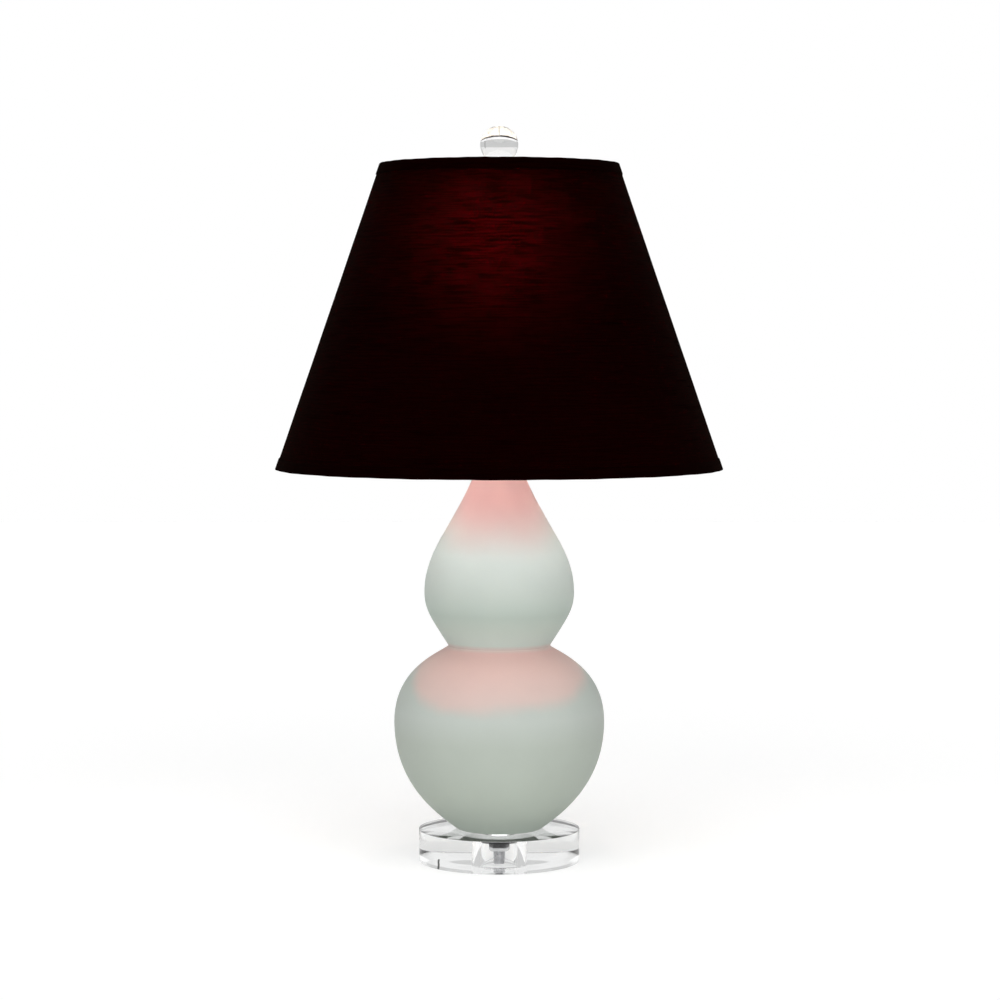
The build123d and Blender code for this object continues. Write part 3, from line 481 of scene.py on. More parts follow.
def make_bulb_glass():
    """Frosted envelope, lit from inside by a filament that leans to one side, and dimmer towards its neck.

    The picture sees it at a soft level, at which its shape shows, and the lamp sees its full strength.
    """
    material, tree, shader = new_material("frosted_glass", (0.70, 0.68, 0.64), Roughness=0.35, Emission_Strength=0.2)
    place = object_place(tree)
    grain = use_group(tree, grain_group, {"Vector": place, "Fine": 900.0, "Broad": 40.0})
    lit = 1.0
    split = split_xyz(tree, place)
    for axis, start, end in ((2, BULB_NECK, BULB_CROWN), (0, BULB_NEAR_SIDE, BULB_FAR_SIDE)):
        bright = mapped(tree, split[axis], start[0], end[0], start[1], end[1])
        lit = math_node(tree, "MULTIPLY", bright, lit)
    warm = blend_colours(tree, lit, (*BULB_DARK, 1), (*BULB_WARM, 1))
    tree.links.new(warm, shader.inputs["Emission Color"])
    set_bump(tree, shader, grain["Fine"], 0.01 * MM)
    strength = mapped(tree, ray_is(tree, "Is Camera Ray"), 0.0, 1.0, BULB_STRENGTH, 0.0)
    light = add(tree, "ShaderNodeEmission", {"Color": warm, "Strength": strength})
    both = add(tree, "ShaderNodeAddShader", {0: shader.outputs[0], 1: light.outputs[0]})
    set_surface(tree, both.outputs[0])
    return material


NUT_PAINTED_HIGHLIGHT = (12.4 * MM, (0.55, 0.55, 0.56))   # painted highlight on the base nut's lower part, below this height

MATERIALS = {
    "clear_acrylic": make_acrylic("clear_acrylic"),
    "dark_steel": make_metal("dark_steel", (0.012, 0.012, 0.013), (0.008, 0.008, 0.009), 0.14, painted_highlight=NUT_PAINTED_HIGHLIGHT),
    "zinc_steel": make_metal("zinc_steel", (0.62, 0.62, 0.63), (0.42, 0.42, 0.44), 0.28),
    "ceramic_glaze": make_glaze(),
    "white_nylon": make_moulded("white_nylon", (0.72, 0.72, 0.69), 0.42),
    "satin_brass": make_metal("satin_brass", (0.70, 0.53, 0.28), (0.50, 0.36, 0.17), 0.26),
    "bright_brass": make_metal("bright_brass", (0.80, 0.62, 0.31), (0.62, 0.45, 0.20), 0.2),
    "card": make_moulded("card", (0.33, 0.24, 0.16), 0.8, 800.0, 0.05 * MM),
    "moulded_black": make_moulded("moulded_black", (0.016, 0.014, 0.013), 0.38),
    "solder": make_metal("solder", (0.60, 0.60, 0.61), (0.40, 0.40, 0.42), 0.4),
    "bulb_glass_black": make_moulded("bulb_glass_black", (0.012, 0.010, 0.016), 0.12),
    "bulb_cap_metal": make_metal("bulb_cap_metal", (0.74, 0.73, 0.70), (0.55, 0.54, 0.51), 0.3),
    "frosted_glass": make_bulb_glass(),
    "shade_fabric": make_cloth("shade_fabric", CLOTH_OPEN),
    "trim_fabric": make_cloth("trim_fabric", 0.0),
    "lining_styrene": make_lining(),
    "ring_wire": make_moulded("ring_wire", (0.70, 0.67, 0.61), 0.35, 400.0, 0.02 * MM),
}

slots = {entry["node"]: entry["material_slot"] for entry in frame["record"]["subparts"]}
for name, node in frame["nodes"].items():
    material = MATERIALS[slots[name]]
    if not node.material_slots:
        node.data.materials.append(material)
    for slot in node.material_slots:
        slot.material = material


# ---- Mesh helpers ----


def new_piece(name, mesh, slot, body, *replaced):
    """A finished mesh, in metres, as a piece that wears a slot's material and rides on a body."""
    piece = bpy.data.objects.new(name, mesh)
    bpy.context.collection.objects.link(piece)
    mesh.materials.clear()
    mesh.materials.append(MATERIALS[slot])
    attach(piece, body)
    if replaced:
        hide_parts(*replaced)
    return piece


def smooth_but_for_corners(mesh, corner=math.radians(38)):
    for polygon in mesh.polygons:
        polygon.use_smooth = True
    mesh.set_sharp_from_angle(angle=corner)


def turned(name, outline, steps, wobble=None, closed=True):
    """A mesh turned round Z from an outline of (radius, height) in mm, with a UV map in metres.

    A point on the axis makes a pole. wobble(angle, radius, height) gives a radius and a height to add.
    """
    mesh = bpy.data.meshes.new(name)
    shape = bmesh.new()
    uv = shape.loops.layers.uv.new("cloth")
    rings = []
    for radius, height in outline:
        if radius == 0:
            rings.append([shape.verts.new((0, 0, height * MM))] * steps)
            continue
        ring = []
        for step in range(steps):
            angle = TAU * step / steps
            out, up = wobble(angle, radius, height) if wobble else (0.0, 0.0)
            across = (radius + out) * MM
            ring.append(shape.verts.new((across * math.cos(angle), across * math.sin(angle), (height + up) * MM)))
        rings.append(ring)
    lengths = [0.0]
    for first, second in zip(outline, outline[1:] + outline[:1]):
        lengths.append(lengths[-1] + math.dist(first, second) * MM)
    middle = sum(radius for radius, _ in outline) / len(outline) * MM
    for index in range(len(outline) if closed else len(outline) - 1):
        after = (index + 1) % len(outline)
        for step in range(steps):
            ahead = (step + 1) % steps
            corners = [(index, step, 0, 0), (index, ahead, 1, 0), (after, ahead, 1, 1), (after, step, 0, 1)]
            verts = [rings[row][column] for row, column, _, _ in corners]
            if verts[0] is verts[1]:
                verts, corners = verts[1:], corners[1:]
            elif verts[2] is verts[3]:
                verts, corners = verts[:3], corners[:3]
            if len(set(verts)) < 3:
                continue
            face = shape.faces.new(verts)
            for loop, (_, _, over, along) in zip(face.loops, corners):
                loop[uv].uv = (TAU * middle * (step + over) / steps, lengths[index + along])
    bmesh.ops.recalc_face_normals(shape, faces=shape.faces)
    shape.to_mesh(mesh)
    shape.free()
    smooth_but_for_corners(mesh)
    return mesh


def rounded(points, radius, cuts=3):
    """A closed outline whose corners are rounded, for turned()."""
    made = []
    for index, corner in enumerate(points):
        corner = Vector(corner)
        before = Vector(points[index - 1]) - corner
        after = Vector(points[(index + 1) % len(points)]) - corner
        reach = min(radius, before.length * 0.45, after.length * 0.45)
        start = corner + before.normalized() * reach
        end = corner + after.normalized() * reach
        for cut in range(cuts + 1):
            share = cut / cuts
            point = start.lerp(corner, share).lerp(corner.lerp(end, share), share)
            made.append((point.x, point.y))
    return made


def steps_between(first, last, count):
    """Points from first up to, and not including, last."""
    return [tuple(a + (b - a) * i / count for a, b in zip(first, last)) for i in range(count)]


# ---- Geometry Nodes: threads and slubs ----


def new_geometry(name, inputs):
    """A Geometry Nodes tree with named inputs (name, kind, value) after its geometry socket."""
    tree = bpy.data.node_groups.new(name, "GeometryNodeTree")
    tree.interface.new_socket("Geometry", in_out="INPUT", socket_type="NodeSocketGeometry")
    for socket, kind, value in inputs:
        item = tree.interface.new_socket(socket, in_out="INPUT", socket_type=kind)
        if value is not None:
            item.default_value = value
    tree.interface.new_socket("Geometry", in_out="OUTPUT", socket_type="NodeSocketGeometry")
    return tree, tree.nodes.new("NodeGroupInput"), tree.nodes.new("NodeGroupOutput")


def finish_geometry(tree, given, made, geometry):
    whole = add(tree, "GeometryNodeRealizeInstances", {0: geometry})
    painted = add(tree, "GeometryNodeSetMaterial", {0: whole.outputs[0], "Material": given.outputs["Material"]})
    tree.links.new(painted.outputs[0], made.inputs[0])


def run_geometry(tree, mesh, name, **values):
    """The plain mesh that a tree makes from a mesh. Input names have underscores for spaces."""
    worker = bpy.data.objects.new(name + "_worker", mesh)
    bpy.context.collection.objects.link(worker)
    modifier = worker.modifiers.new("made", "NODES")
    modifier.node_group = tree
    for socket in tree.interface.items_tree:
        key = socket.name.replace(" ", "_")
        if socket.in_out == "INPUT" and key in values:
            modifier[socket.identifier] = values[key]
    evaluated = worker.evaluated_get(bpy.context.evaluated_depsgraph_get())
    result = bpy.data.meshes.new_from_object(evaluated)
    result.name = name
    worker.modifiers.remove(modifier)
    bpy.data.objects.remove(worker)
    return result


def make_thread_tree():
    """Cuts or rolls a right-hand thread into a plain turned mesh."""
    tree, given, made = new_geometry(
        "thread",
        [
            ("Pitch", FLOAT, 0.001),
            ("Depth", FLOAT, 0.0003),
            ("Low", FLOAT, 0.0),
            ("High", FLOAT, 0.01),
            ("Fade", FLOAT, 0.001),
            ("Least Radius", FLOAT, 0.001),
            ("Rolled", FLOAT, 0.0),
            ("Material", "NodeSocketMaterial", None),
        ],
    )
    place = tree.nodes.new("GeometryNodeInputPosition").outputs[0]
    x, y, z = split_xyz(tree, place)
    outward = join_xyz(tree, x, y)
    radius = vector_node(tree, "LENGTH", outward, output="Value")
    unit = vector_node(tree, "NORMALIZE", outward)
    turns = math_node(tree, "DIVIDE", math_node(tree, "ARCTAN2", y, x), TAU)
    phase = math_node(tree, "SUBTRACT", math_node(tree, "DIVIDE", z, given.outputs["Pitch"]), turns)
    cut = math_node(tree, "MULTIPLY", math_node(tree, "PINGPONG", phase, 0.5), -2.0)
    wave = math_node(tree, "COSINE", math_node(tree, "MULTIPLY", phase, TAU))
    rolled = mapped(tree, wave, -1.0, 1.0, -1.0, 0.0)
    groove = mapped(tree, given.outputs["Rolled"], 0.0, 1.0, cut, rolled)
    fade = given.outputs["Fade"]
    rise = mapped(tree, math_node(tree, "SUBTRACT", z, given.outputs["Low"]), 0.0, fade)
    fall = mapped(tree, math_node(tree, "SUBTRACT", given.outputs["High"], z), 0.0, fade)
    outside = math_node(tree, "GREATER_THAN", radius, given.outputs["Least Radius"])
    amount = math_node(tree, "MULTIPLY", math_node(tree, "MULTIPLY", rise, fall), outside)
    amount = math_node(tree, "MULTIPLY", amount, math_node(tree, "MULTIPLY", groove, given.outputs["Depth"]))
    moved = add(tree, "GeometryNodeSetPosition", {0: given.outputs[0], "Offset": scaled(tree, unit, amount)})
    finish_geometry(tree, given, made, moved.outputs[0])
    return tree


SLUB_THINNEST = 0.35            # thickness of the thinnest slub over the thickest
SLUB_WIDTH = 1.25               # a slub's width over its thickness


def make_slub_tree():
    """Thick places in the weft: spindles laid out flat, then wrapped round the cone."""
    tree, given, made = new_geometry(
        "slubs",
        [
            ("Count", "NodeSocketInt", 600),
            ("Seed", "NodeSocketInt", 3),
            ("Low", FLOAT, 0.32),
            ("High", FLOAT, 0.54),
            ("Low Radius", FLOAT, 0.171),
            ("High Radius", FLOAT, 0.097),
            ("Shortest", FLOAT, 0.006),
            ("Longest", FLOAT, 0.04),
            ("Thickness", FLOAT, 0.0003),
            ("Material", "NodeSocketMaterial", None),
        ],
    )
    low, high, seed = given.outputs["Low"], given.outputs["High"], given.outputs["Seed"]
    scatter = add(
        tree,
        "FunctionNodeRandomValue",
        {0: join_xyz(tree, 0.0, 0.0, low), 1: join_xyz(tree, 1.0, 0.0, high), "Seed": seed},
        data_type="FLOAT_VECTOR",
    )
    points = add(tree, "GeometryNodePoints", {"Count": given.outputs["Count"], "Position": scatter.outputs[0]})
    spindle = add(tree, "GeometryNodeMeshUVSphere", {"Segments": 5, "Rings": 7, "Radius": 1.0})
    lying = add(tree, "GeometryNodeTransform", {0: spindle.outputs[0], "Rotation": (0.0, math.pi / 2, 0.0)})
    drawn = []
    for least, most, step in ((given.outputs["Shortest"], given.outputs["Longest"], 1), (SLUB_THINNEST, 1.0, 2)):
        values = {2: least, 3: most, "Seed": math_node(tree, "ADD", seed, step)}
        drawn.append(add(tree, "FunctionNodeRandomValue", values).outputs[1])
    length, fat = drawn
    fat = math_node(tree, "MULTIPLY", fat, given.outputs["Thickness"])
    wide = math_node(tree, "MULTIPLY", fat, SLUB_WIDTH)
    # Lengths lie along X as a share of a turn until they are wrapped.
    turn = math_node(tree, "MULTIPLY", given.outputs["Low Radius"], TAU)
    share = math_node(tree, "DIVIDE", math_node(tree, "DIVIDE", length, 2.0), turn)
    size = join_xyz(tree, share, fat, wide)
    placed = add(
        tree,
        "GeometryNodeInstanceOnPoints",
        {0: points.outputs[0], "Instance": lying.outputs[0], "Scale": size},
    )
    whole = add(tree, "GeometryNodeRealizeInstances", {0: placed.outputs[0]})
    x, y, z = split_xyz(tree, tree.nodes.new("GeometryNodeInputPosition").outputs[0])
    kept = add(
        tree,
        "GeometryNodeStoreNamedAttribute",
        {0: whole.outputs[0], "Name": "cloth", "Value": join_xyz(tree, math_node(tree, "MULTIPLY", x, turn), z)},
        data_type="FLOAT2",
        domain="CORNER",
    )
    angle = math_node(tree, "MULTIPLY", x, TAU)
    wall = mapped(tree, z, low, high, given.outputs["Low Radius"], given.outputs["High Radius"])
    radius = math_node(tree, "ADD", wall, y)
    wrapped = join_xyz(
        tree,
        math_node(tree, "MULTIPLY", math_node(tree, "COSINE", angle), radius),
        math_node(tree, "MULTIPLY", math_node(tree, "SINE", angle), radius),
        z,
    )
    moved = add(tree, "GeometryNodeSetPosition", {0: kept.outputs[0], "Position": wrapped})
    smooth = add(tree, "GeometryNodeSetShadeSmooth", {0: moved.outputs[0]})
    finish_geometry(tree, given, made, smooth.outputs[0])
    return tree


thread_tree = make_thread_tree()
slub_tree = make_slub_tree()

# ---- Clear block and the pipe through the lamp ----

BASE_RADIUS = 63.5
BASE_HEIGHT = 25.4
BASE_ROUNDING = 0.3
BASE_STEPS = 288
ROD_HOLE = 5.2
COUNTERBORE_RADIUS = 14.5
COUNTERBORE_TOP = 18.0
ROD_RADIUS = 4.7625
ROD_BORE = 3.2
ROD_BOTTOM = 1.4
ROD_TOP = 345.8
ROD_PITCH = 25.4 / 27
ROD_DEPTH = 0.5
ROD_CHAMFER = 0.5
ROWS_A_TURN = 8                 # rows of a threaded mesh in each turn of a fine thread
THREAD_STEPS = 32
THREAD_CORNER = math.radians(70)

base_outline = [
    (BASE_RADIUS, 0.0),
    (BASE_RADIUS, BASE_HEIGHT),
    (ROD_HOLE, BASE_HEIGHT),
    (ROD_HOLE, COUNTERBORE_TOP),
    (COUNTERBORE_RADIUS, COUNTERBORE_TOP),
    (COUNTERBORE_RADIUS, 0.0),
]
new_piece(
    "clear_block",
    turned("clear_block", rounded(base_outline, BASE_ROUNDING), BASE_STEPS),
    "clear_acrylic",
    "stand",
    "acrylic_base",
)


def threaded(name, outline, steps, slot, body, *replaced, closed=True, **thread):
    """A turned piece with a thread on it. Thread lengths are in mm."""
    values = {key: value * MM for key, value in thread.items() if key != "Rolled"}
    values["Rolled"] = thread.get("Rolled", 0.0)
    plain = turned(name + "_plain", outline, steps, closed=closed)
    mesh = run_geometry(thread_tree, plain, name, Material=MATERIALS[slot], **values)
    smooth_but_for_corners(mesh, THREAD_CORNER)
    return new_piece(name, mesh, slot, body, *replaced)


def pipe_outline(low, high, rows):
    start, end = (ROD_RADIUS, low + ROD_CHAMFER), (ROD_RADIUS, high - ROD_CHAMFER)
    tip = ROD_RADIUS - ROD_CHAMFER
    return steps_between(start, end, rows) + [end, (tip, high), (ROD_BORE, high), (ROD_BORE, low), (tip, low)]


ROD_THREAD_FOOT = 40.0
ROD_THREAD_HEAD = 312.0
PIPE_MIDDLE = (ROD_THREAD_FOOT - 0.6, ROD_THREAD_HEAD + 0.6)   # it reaches a little into its threaded ends
for name, low, high in (("pipe_foot", ROD_BOTTOM, ROD_THREAD_FOOT), ("pipe_head", ROD_THREAD_HEAD, ROD_TOP)):
    rows = round((high - low) / ROD_PITCH * ROWS_A_TURN)
    threaded(
        name,
        pipe_outline(low, high, rows),
        THREAD_STEPS,
        "zinc_steel",
        "stand",
        "threaded_rod",
        Pitch=ROD_PITCH,
        Depth=ROD_DEPTH,
        Low=low - 2.0,
        High=high + 2.0,
        Fade=0.5,
        Least_Radius=4.1,
    )
new_piece(
    "pipe_middle",
    turned("pipe_middle", pipe_outline(*PIPE_MIDDLE, 1), 48),
    "zinc_steel",
    "stand",
    "threaded_rod",
)

# ---- Finial ball ----

BALL_RADIUS = 14.85
BALL_CENTRE = 563.0
BALL_DROP = 13.8                # from the centre to the flat under the ball
BALL_FLAT = BALL_CENTRE - BALL_DROP
BALL_HOLE = 3.68
BALL_HOLE_TOP = BALL_FLAT + 2.6
BALL_ROWS = 60
BALL_STEPS = 96

ball_outline = [(0, BALL_CENTRE + BALL_RADIUS)]
for step in range(1, BALL_ROWS + 1):
    angle = (math.pi - math.acos(BALL_DROP / BALL_RADIUS)) * step / BALL_ROWS
    ball_outline.append((BALL_RADIUS * math.sin(angle), BALL_CENTRE + BALL_RADIUS * math.cos(angle)))
ball_outline += [(BALL_HOLE, BALL_FLAT), (BALL_HOLE, BALL_HOLE_TOP), (0, BALL_HOLE_TOP)]
new_piece(
    "clear_ball",
    turned("clear_ball", ball_outline, BALL_STEPS, closed=False),
    "clear_acrylic",
    "finial_ball",
    "finial_ball",
)

# ---- Lamp holder and bulb threads, finial stud ----

BULB_PITCH = 25.4 / 7
BULB_ROWS = 60
BULB_STEPS = 72
CONTACT_HOLE = 6.0
SCREW_SHELL_RADIUS = 13.9
SCREW_SHELL_WALL = 0.4
SCREW_SHELL_BOTTOM = 375.8
SCREW_SHELL_TOP = 394.8
BULB_CAP_RADIUS = 13.0
BULB_CAP_WALL = 0.4
BULB_CAP_HOLE = 5.98
BULB_CAP_BOTTOM = 384.4
BULB_CAP_TOP = 403.4

shell_outline = (
    [(CONTACT_HOLE, SCREW_SHELL_BOTTOM), (SCREW_SHELL_RADIUS - 0.6, SCREW_SHELL_BOTTOM)]
    + steps_between((SCREW_SHELL_RADIUS, SCREW_SHELL_BOTTOM + 0.6), (SCREW_SHELL_RADIUS, SCREW_SHELL_TOP), BULB_ROWS)
    + steps_between(
        (SCREW_SHELL_RADIUS - SCREW_SHELL_WALL, SCREW_SHELL_TOP),
        (SCREW_SHELL_RADIUS - SCREW_SHELL_WALL, SCREW_SHELL_BOTTOM + 0.9),
        BULB_ROWS,
    )
    + [
        (SCREW_SHELL_RADIUS - 0.9, SCREW_SHELL_BOTTOM + SCREW_SHELL_WALL),
        (CONTACT_HOLE, SCREW_SHELL_BOTTOM + SCREW_SHELL_WALL),
    ]
)
threaded(
    "rolled_screw_shell",
    shell_outline,
    BULB_STEPS,
    "bright_brass",
    "stand",
    "screw_shell",
    Pitch=BULB_PITCH,
    Depth=0.42,
    Low=SCREW_SHELL_BOTTOM + 1.5,
    High=SCREW_SHELL_TOP - 0.6,
    Fade=1.6,
    Least_Radius=12.0,
    Rolled=1.0,
)
cap_outline = (
    [(BULB_CAP_HOLE, BULB_CAP_BOTTOM), (BULB_CAP_RADIUS - 1.4, BULB_CAP_BOTTOM)]
    + steps_between((BULB_CAP_RADIUS, BULB_CAP_BOTTOM + 1.6), (BULB_CAP_RADIUS, BULB_CAP_TOP), BULB_ROWS)
    + steps_between(
        (BULB_CAP_RADIUS - BULB_CAP_WALL, BULB_CAP_TOP),
        (BULB_CAP_RADIUS - BULB_CAP_WALL, BULB_CAP_BOTTOM + 1.8),
        BULB_ROWS,
    )
    + [(BULB_CAP_RADIUS - 1.6, BULB_CAP_BOTTOM + 0.5), (BULB_CAP_HOLE, BULB_CAP_BOTTOM + 0.5)]
)
threaded(
    "rolled_bulb_cap",
    cap_outline,
    BULB_STEPS,
    "bulb_cap_metal",
    "bulb",
    "bulb_cap",
    Pitch=BULB_PITCH,
    Depth=0.6,
    Low=BULB_CAP_BOTTOM + 1.8,
    High=BULB_CAP_TOP - 4.5,
    Fade=1.6,
    Least_Radius=12.0,
    Rolled=1.0,
)

STUD_RADIUS = 3.15
STUD_BOTTOM = 531.0
STUD_TOP = 545.0
RIVET_RADIUS = 2.5
RIVET_HEAD_RADIUS = 4.3
RIVET_HEAD_TOP = 528.2
RIVET_HEAD_BOTTOM = 526.9
stud_rows = round((STUD_TOP - STUD_BOTTOM) / ROD_PITCH * ROWS_A_TURN)
stud_outline = (
    [(0, RIVET_HEAD_BOTTOM), (3.6, RIVET_HEAD_BOTTOM), (4.1, RIVET_HEAD_BOTTOM + 0.2)]
    + [(RIVET_HEAD_RADIUS, RIVET_HEAD_BOTTOM + 0.7), (RIVET_HEAD_RADIUS, RIVET_HEAD_TOP)]
    + [(RIVET_RADIUS, RIVET_HEAD_TOP), (RIVET_RADIUS, STUD_BOTTOM)]
    + steps_between((STUD_RADIUS, STUD_BOTTOM), (STUD_RADIUS, STUD_TOP - 0.6), stud_rows)
    + [(STUD_RADIUS, STUD_TOP - 0.6), (STUD_RADIUS - 0.6, STUD_TOP), (0, STUD_TOP)]
)
threaded(
    "finial_stud",
    stud_outline,
    THREAD_STEPS,
    "satin_brass",
    "harp_swivel",
    "harp_stud",
    closed=False,
    Pitch=ROD_PITCH,
    Depth=ROD_DEPTH,
    Low=STUD_BOTTOM + 1.9,
    High=STUD_TOP + 1.0,
    Fade=0.5,
    Least_Radius=2.9,
)

# ---- Shade: cloth, slubs, back seam, lining and folded tapes ----

SHADE_BOTTOM = 310.0
SHADE_TOP = 548.3
SHADE_BOTTOM_RADIUS = 175.6
SHADE_TOP_RADIUS = 93.6
SHADE_SLOPE = (SHADE_BOTTOM_RADIUS - SHADE_TOP_RADIUS) / (SHADE_TOP - SHADE_BOTTOM)
SHADE_STEPS = 360
TAPE_THICKNESS = 0.7
TAPE_HEIGHT = 8.5
EDGE_FOLD = 0.8
CLOTH_THICKNESS = 0.6
LINING_THICKNESS = 0.5
WALL_LOW = SHADE_BOTTOM + EDGE_FOLD
WALL_HIGH = SHADE_TOP - EDGE_FOLD
WALL_ROWS = 40
WALL_INSET = CLOTH_THICKNESS + LINING_THICKNESS
BACK = math.pi / 2


def shade_outside(height):
    """Outer radius of the cloth at a height, in mm."""
    return SHADE_BOTTOM_RADIUS - TAPE_THICKNESS - SHADE_SLOPE * (height - SHADE_BOTTOM)


def cloth_wander(angle, radius, height):
    """Slight unevenness of a cloth stretched by hand, the same through its thickness."""
    out = 0.10 * math.sin(3 * angle + 0.013 * height) + 0.06 * math.sin(11 * angle - 0.03 * height + 1.3)
    return out + 0.03 * math.sin(37 * angle + 0.11 * height), 0.0


def wall_outline(outer_inset, inner_inset, rows):
    """Closed outline of one layer of the shade's wall."""
    low = (shade_outside(WALL_LOW), WALL_LOW)
    high = (shade_outside(WALL_HIGH), WALL_HIGH)
    outer = [(r - outer_inset, h) for r, h in steps_between(low, high, rows) + [high]]
    inner = [(r - inner_inset, h) for r, h in steps_between(high, low, rows) + [low]]
    return outer + inner


cover = new_piece(
    "shade_cover",
    turned("shade_cover", wall_outline(0.0, CLOTH_THICKNESS, WALL_ROWS), SHADE_STEPS, cloth_wander),
    "shade_fabric",
    "shade",
    "shade_cloth",
)
new_piece(
    "lining_sheet",
    turned("lining_sheet", wall_outline(CLOTH_THICKNESS + 0.05, WALL_INSET, WALL_ROWS), SHADE_STEPS, cloth_wander),
    "lining_styrene",
    "shade",
    "shade_lining",
)

SLUB_LOW = SHADE_BOTTOM + TAPE_HEIGHT + 2
SLUB_HIGH = SHADE_TOP - TAPE_HEIGHT - 2
SLUB_SINK = 0.02                # how deep a slub's middle lies in the cloth

slub_mesh = run_geometry(
    slub_tree,
    bpy.data.meshes.new("slub_start"),
    "slub_threads",
    Count=900,
    Seed=11,
    Low=SLUB_LOW * MM,
    High=SLUB_HIGH * MM,
    Low_Radius=(shade_outside(SLUB_LOW) - SLUB_SINK) * MM,
    High_Radius=(shade_outside(SLUB_HIGH) - SLUB_SINK) * MM,
    Shortest=0.005,
    Longest=0.045,
    Thickness=0.00022,
    Material=MATERIALS["shade_fabric"],
)
slub_piece = new_piece("slub_threads", slub_mesh, "shade_fabric", "shade")

STRIP_STEP = (0.004, 0.0011)    # UV step of a strip's rows and columns, in metres


def wall_strip(name, middle, half_width, inset, thickness, slot, columns=8, rows=60):
    """A narrow strip that lies along the cone's wall, from edge to edge, thinner at its long sides."""
    mesh = bpy.data.meshes.new(name)
    shape = bmesh.new()
    uv = shape.loops.layers.uv.new("cloth")
    sections = []
    for row in range(rows + 1):
        height = WALL_LOW + (WALL_HIGH - WALL_LOW) * row / rows
        radius = shade_outside(height) - inset
        loop = []
        for face_up in (1, 0):
            for column in range(columns + 1):
                across = (2 * column / columns - 1) * (1 if face_up else -1)
                edge = 1 - abs(across) ** 6 * 0.6
                out = thickness * edge if face_up else 0.0
                angle = middle + across * half_width / radius
                wander = cloth_wander(angle, radius, height)[0]
                reach = (radius + out + wander) * MM
                loop.append(shape.verts.new((reach * math.cos(angle), reach * math.sin(angle), height * MM)))
        sections.append(loop)
    count = len(sections[0])
    for row in range(rows):
        for index in range(count):
            after = (index + 1) % count
            face = shape.faces.new(
                (sections[row][index], sections[row][after], sections[row + 1][after], sections[row + 1][index])
            )
            for corner, (over, up) in zip(face.loops, ((0, 0), (1, 0), (1, 1), (0, 1))):
                corner[uv].uv = ((row + up) * STRIP_STEP[0], (index + over) * STRIP_STEP[1])
    shape.faces.new(sections[0][::-1])
    shape.faces.new(sections[-1])
    bmesh.ops.recalc_face_normals(shape, faces=shape.faces)
    shape.to_mesh(mesh)
    shape.free()
    smooth_but_for_corners(mesh)
    return new_piece(name, mesh, slot, "shade")


seam = wall_strip("back_seam", BACK, 4.5, 0.05, 0.5, "shade_fabric")
wall_strip("lining_lap", BACK, 6.0, WALL_INSET + 0.42, 0.47, "lining_styrene")

RING_RADIUS = 1.5
RING_POCKET = RING_RADIUS + 0.1
RING_INSET = WALL_INSET + RING_POCKET + 0.6
ROLL_CORNER = 0.7
ROLL_FOOT = 0.6
TAPE_GAP = 0.12
TAPE_LAP = 0.3                  # how far the doubled tape stands out
TAPE_LAP_HALF = 8.0
TAPE_LAP_INNER = 90.0           # the top tape's roll, inside this radius, isn't doubled


def tape_outline(edge, inward):
    """Tape folded over the wall's edge and its ring. Inward is 1 at the bottom and -1 at the top."""
    wall_edge = edge + inward * EDGE_FOLD
    ring_height = wall_edge + inward * RING_POCKET
    ring_radius = shade_outside(ring_height) - RING_INSET
    band_edge = edge + inward * TAPE_HEIGHT
    roll_edge = ring_height + inward * (RING_POCKET + TAPE_THICKNESS)
    roll_radius = ring_radius - RING_POCKET - 0.8
    return [
        (shade_outside(edge) + TAPE_THICKNESS, edge),
        (shade_outside(band_edge) + TAPE_THICKNESS, band_edge),
        (shade_outside(band_edge) + TAPE_GAP, band_edge),
        (shade_outside(wall_edge) + TAPE_GAP, wall_edge),
        (shade_outside(wall_edge) - WALL_INSET, wall_edge),
        (shade_outside(roll_edge) - WALL_INSET - TAPE_GAP, roll_edge),
        (roll_radius + ROLL_CORNER, roll_edge),
        (roll_radius, roll_edge - inward * ROLL_CORNER),
        (roll_radius, edge + inward * ROLL_FOOT),
        (roll_radius + ROLL_FOOT, edge),
    ]


def tape_wander(angle, radius, height):
    """A folded tape: a little uneven along its edge, and doubled where its ends lap at the back."""
    lapped = radius > TAPE_LAP_INNER and abs(angle - BACK) < TAPE_LAP_HALF / radius
    ripple = 0.08 * math.sin(17 * angle) + 0.06 * math.sin(41 * angle + height)
    return cloth_wander(angle, radius, height)[0] + (TAPE_LAP if lapped else 0.0), ripple


for name, edge, inward in (("bottom", SHADE_BOTTOM, 1), ("top", SHADE_TOP, -1)):
    outline = rounded(tape_outline(edge, inward), 0.5, 2)
    tape = new_piece(
        name + "_tape",
        turned(name + "_tape", outline, SHADE_STEPS, tape_wander),
        "trim_fabric",
        "shade",
        "shade_%s_trim" % name,
    )

# ---- Floor, backdrop and lamps ----

FLOOR_HALF = 4.0
FLOOR_ALBEDO = 0.60
FLOOR_LIFT = 0.21               # the sweep is lit through from below, which softens the shadow
FLOOR_WHITE = 0.31              # what the picture, gloss and clear parts see on top of it
SKY_LIGHT = 0.46
SKY_FRONT = 0.27                # how much brighter the light is in front, and dimmer behind
KEY_LIGHT = 1.7
KEY_TIP = math.radians(48)
KEY_SPREAD = math.radians(70)
WALL_TONE = 0.60                # the room beyond the white sweep, as gloss and glass show it
CEILING_TONE = 0.86
FRONT_TONE = 0.42               # the darker end of the room, behind the camera
FRONT_FADE = (0.35, 0.55)
WALL_RISE = math.sin(math.radians(8.6))
WALL_FADE = 0.01
STAND_TURN = math.radians(36.6)  # a dark light stand, right of straight behind
STAND_TONE = 0.05
STAND_HALF_WIDTH = 0.018
STAND_TOP = math.sin(math.radians(11.5))


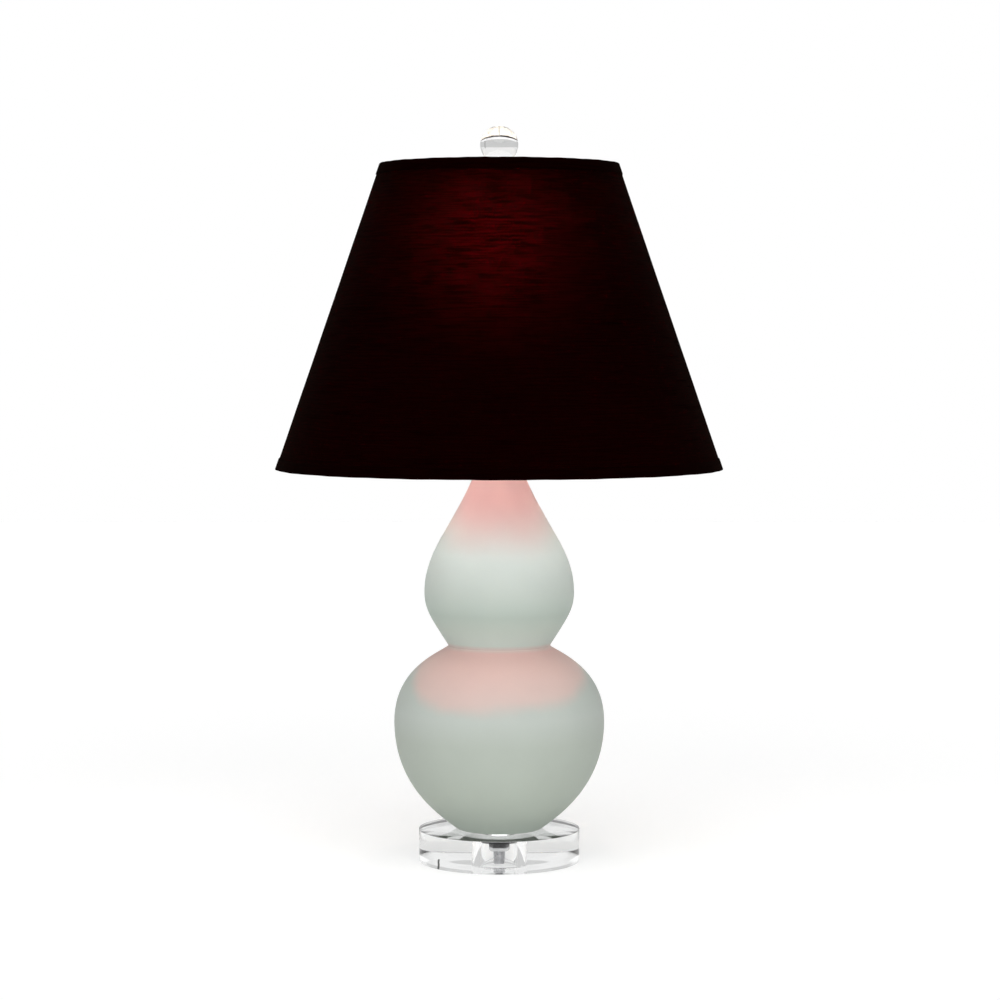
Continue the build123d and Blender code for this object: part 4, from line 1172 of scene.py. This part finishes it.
def make_floor():
    """Plain pale floor, which keeps the object's shadow. From below, it lets the object be seen."""
    mesh = bpy.data.meshes.new("floor")
    corners = [(x * FLOOR_HALF, y * FLOOR_HALF, -0.0002) for x, y in ((-1, -1), (1, -1), (1, 1), (-1, 1))]
    mesh.from_pydata(corners, [], [(0, 1, 2, 3)])
    floor = bpy.data.objects.new("floor", mesh)
    bpy.context.collection.objects.link(floor)
    material, tree, shader = new_material("floor", (FLOOR_ALBEDO,) * 3, Roughness=1.0, Specular_IOR_Level=0.0)
    seen = ray_is(tree, "Is Camera Ray", "Is Glossy Ray", "Is Transmission Ray")
    glow = mapped(tree, seen, 0.0, 1.0, FLOOR_LIFT, FLOOR_LIFT + FLOOR_WHITE)
    lift = add(tree, "ShaderNodeEmission", {"Color": (1, 1, 1, 1), "Strength": glow})
    both = add(tree, "ShaderNodeAddShader", {0: shader.outputs[0], 1: lift.outputs[0]})
    clear = tree.nodes.new("ShaderNodeBsdfTransparent")
    under = tree.nodes.new("ShaderNodeNewGeometry").outputs["Backfacing"]
    whole = add(tree, "ShaderNodeMixShader", {0: under, 1: both.outputs[0], 2: clear.outputs[0]})
    set_surface(tree, whole.outputs[0])
    mesh.materials.append(material)


def make_sky():
    """White to the camera, a plain room to gloss and clear parts, and a soft light, strongest in front."""
    world = bpy.data.worlds.new("studio")
    bpy.context.scene.world = world
    world.use_nodes = True
    tree = world.node_tree
    x, y, z = split_xyz(tree, tree.nodes.new("ShaderNodeTexCoord").outputs["Generated"])
    room = mapped(tree, z, WALL_RISE - WALL_FADE, WALL_RISE + WALL_FADE, WALL_TONE, CEILING_TONE, smooth=True)
    low_front = math_node(tree, "SUBTRACT", math_node(tree, "MULTIPLY", y, -1.0), z)
    room = mapped(tree, low_front, *FRONT_FADE, room, FRONT_TONE, smooth=True)
    aside = math_node(
        tree,
        "SUBTRACT",
        math_node(tree, "MULTIPLY", x, math.cos(STAND_TURN)),
        math_node(tree, "MULTIPLY", y, math.sin(STAND_TURN)),
    )
    near = math_node(tree, "LESS_THAN", math_node(tree, "ABSOLUTE", aside), STAND_HALF_WIDTH)
    low = math_node(tree, "LESS_THAN", z, STAND_TOP)
    behind = math_node(tree, "GREATER_THAN", y, 0.0)
    stand = math_node(tree, "MULTIPLY", near, math_node(tree, "MULTIPLY", low, behind))
    room = mapped(tree, stand, 0, 1, room, STAND_TONE)
    mirrored = ray_is(tree, "Is Glossy Ray", "Is Transmission Ray")
    soft = mapped(tree, y, -1.0, 1.0, SKY_LIGHT + SKY_FRONT, SKY_LIGHT - SKY_FRONT)
    strength = mapped(tree, mirrored, 0.0, 1.0, soft, room)
    strength = mapped(tree, ray_is(tree, "Is Camera Ray"), 0.0, 1.0, strength, 1.0)
    background = tree.nodes["Background"]
    background.inputs["Color"].default_value = (1, 1, 1, 1)
    tree.links.new(strength, background.inputs["Strength"])


def make_key():
    """One broad soft light from above the camera."""
    light = bpy.data.lights.new("key", "SUN")
    light.energy = KEY_LIGHT
    light.angle = KEY_SPREAD
    key = bpy.data.objects.new("key", light)
    key.rotation_euler = (KEY_TIP, 0, 0)
    bpy.context.collection.objects.link(key)


make_floor()
make_sky()
make_key()
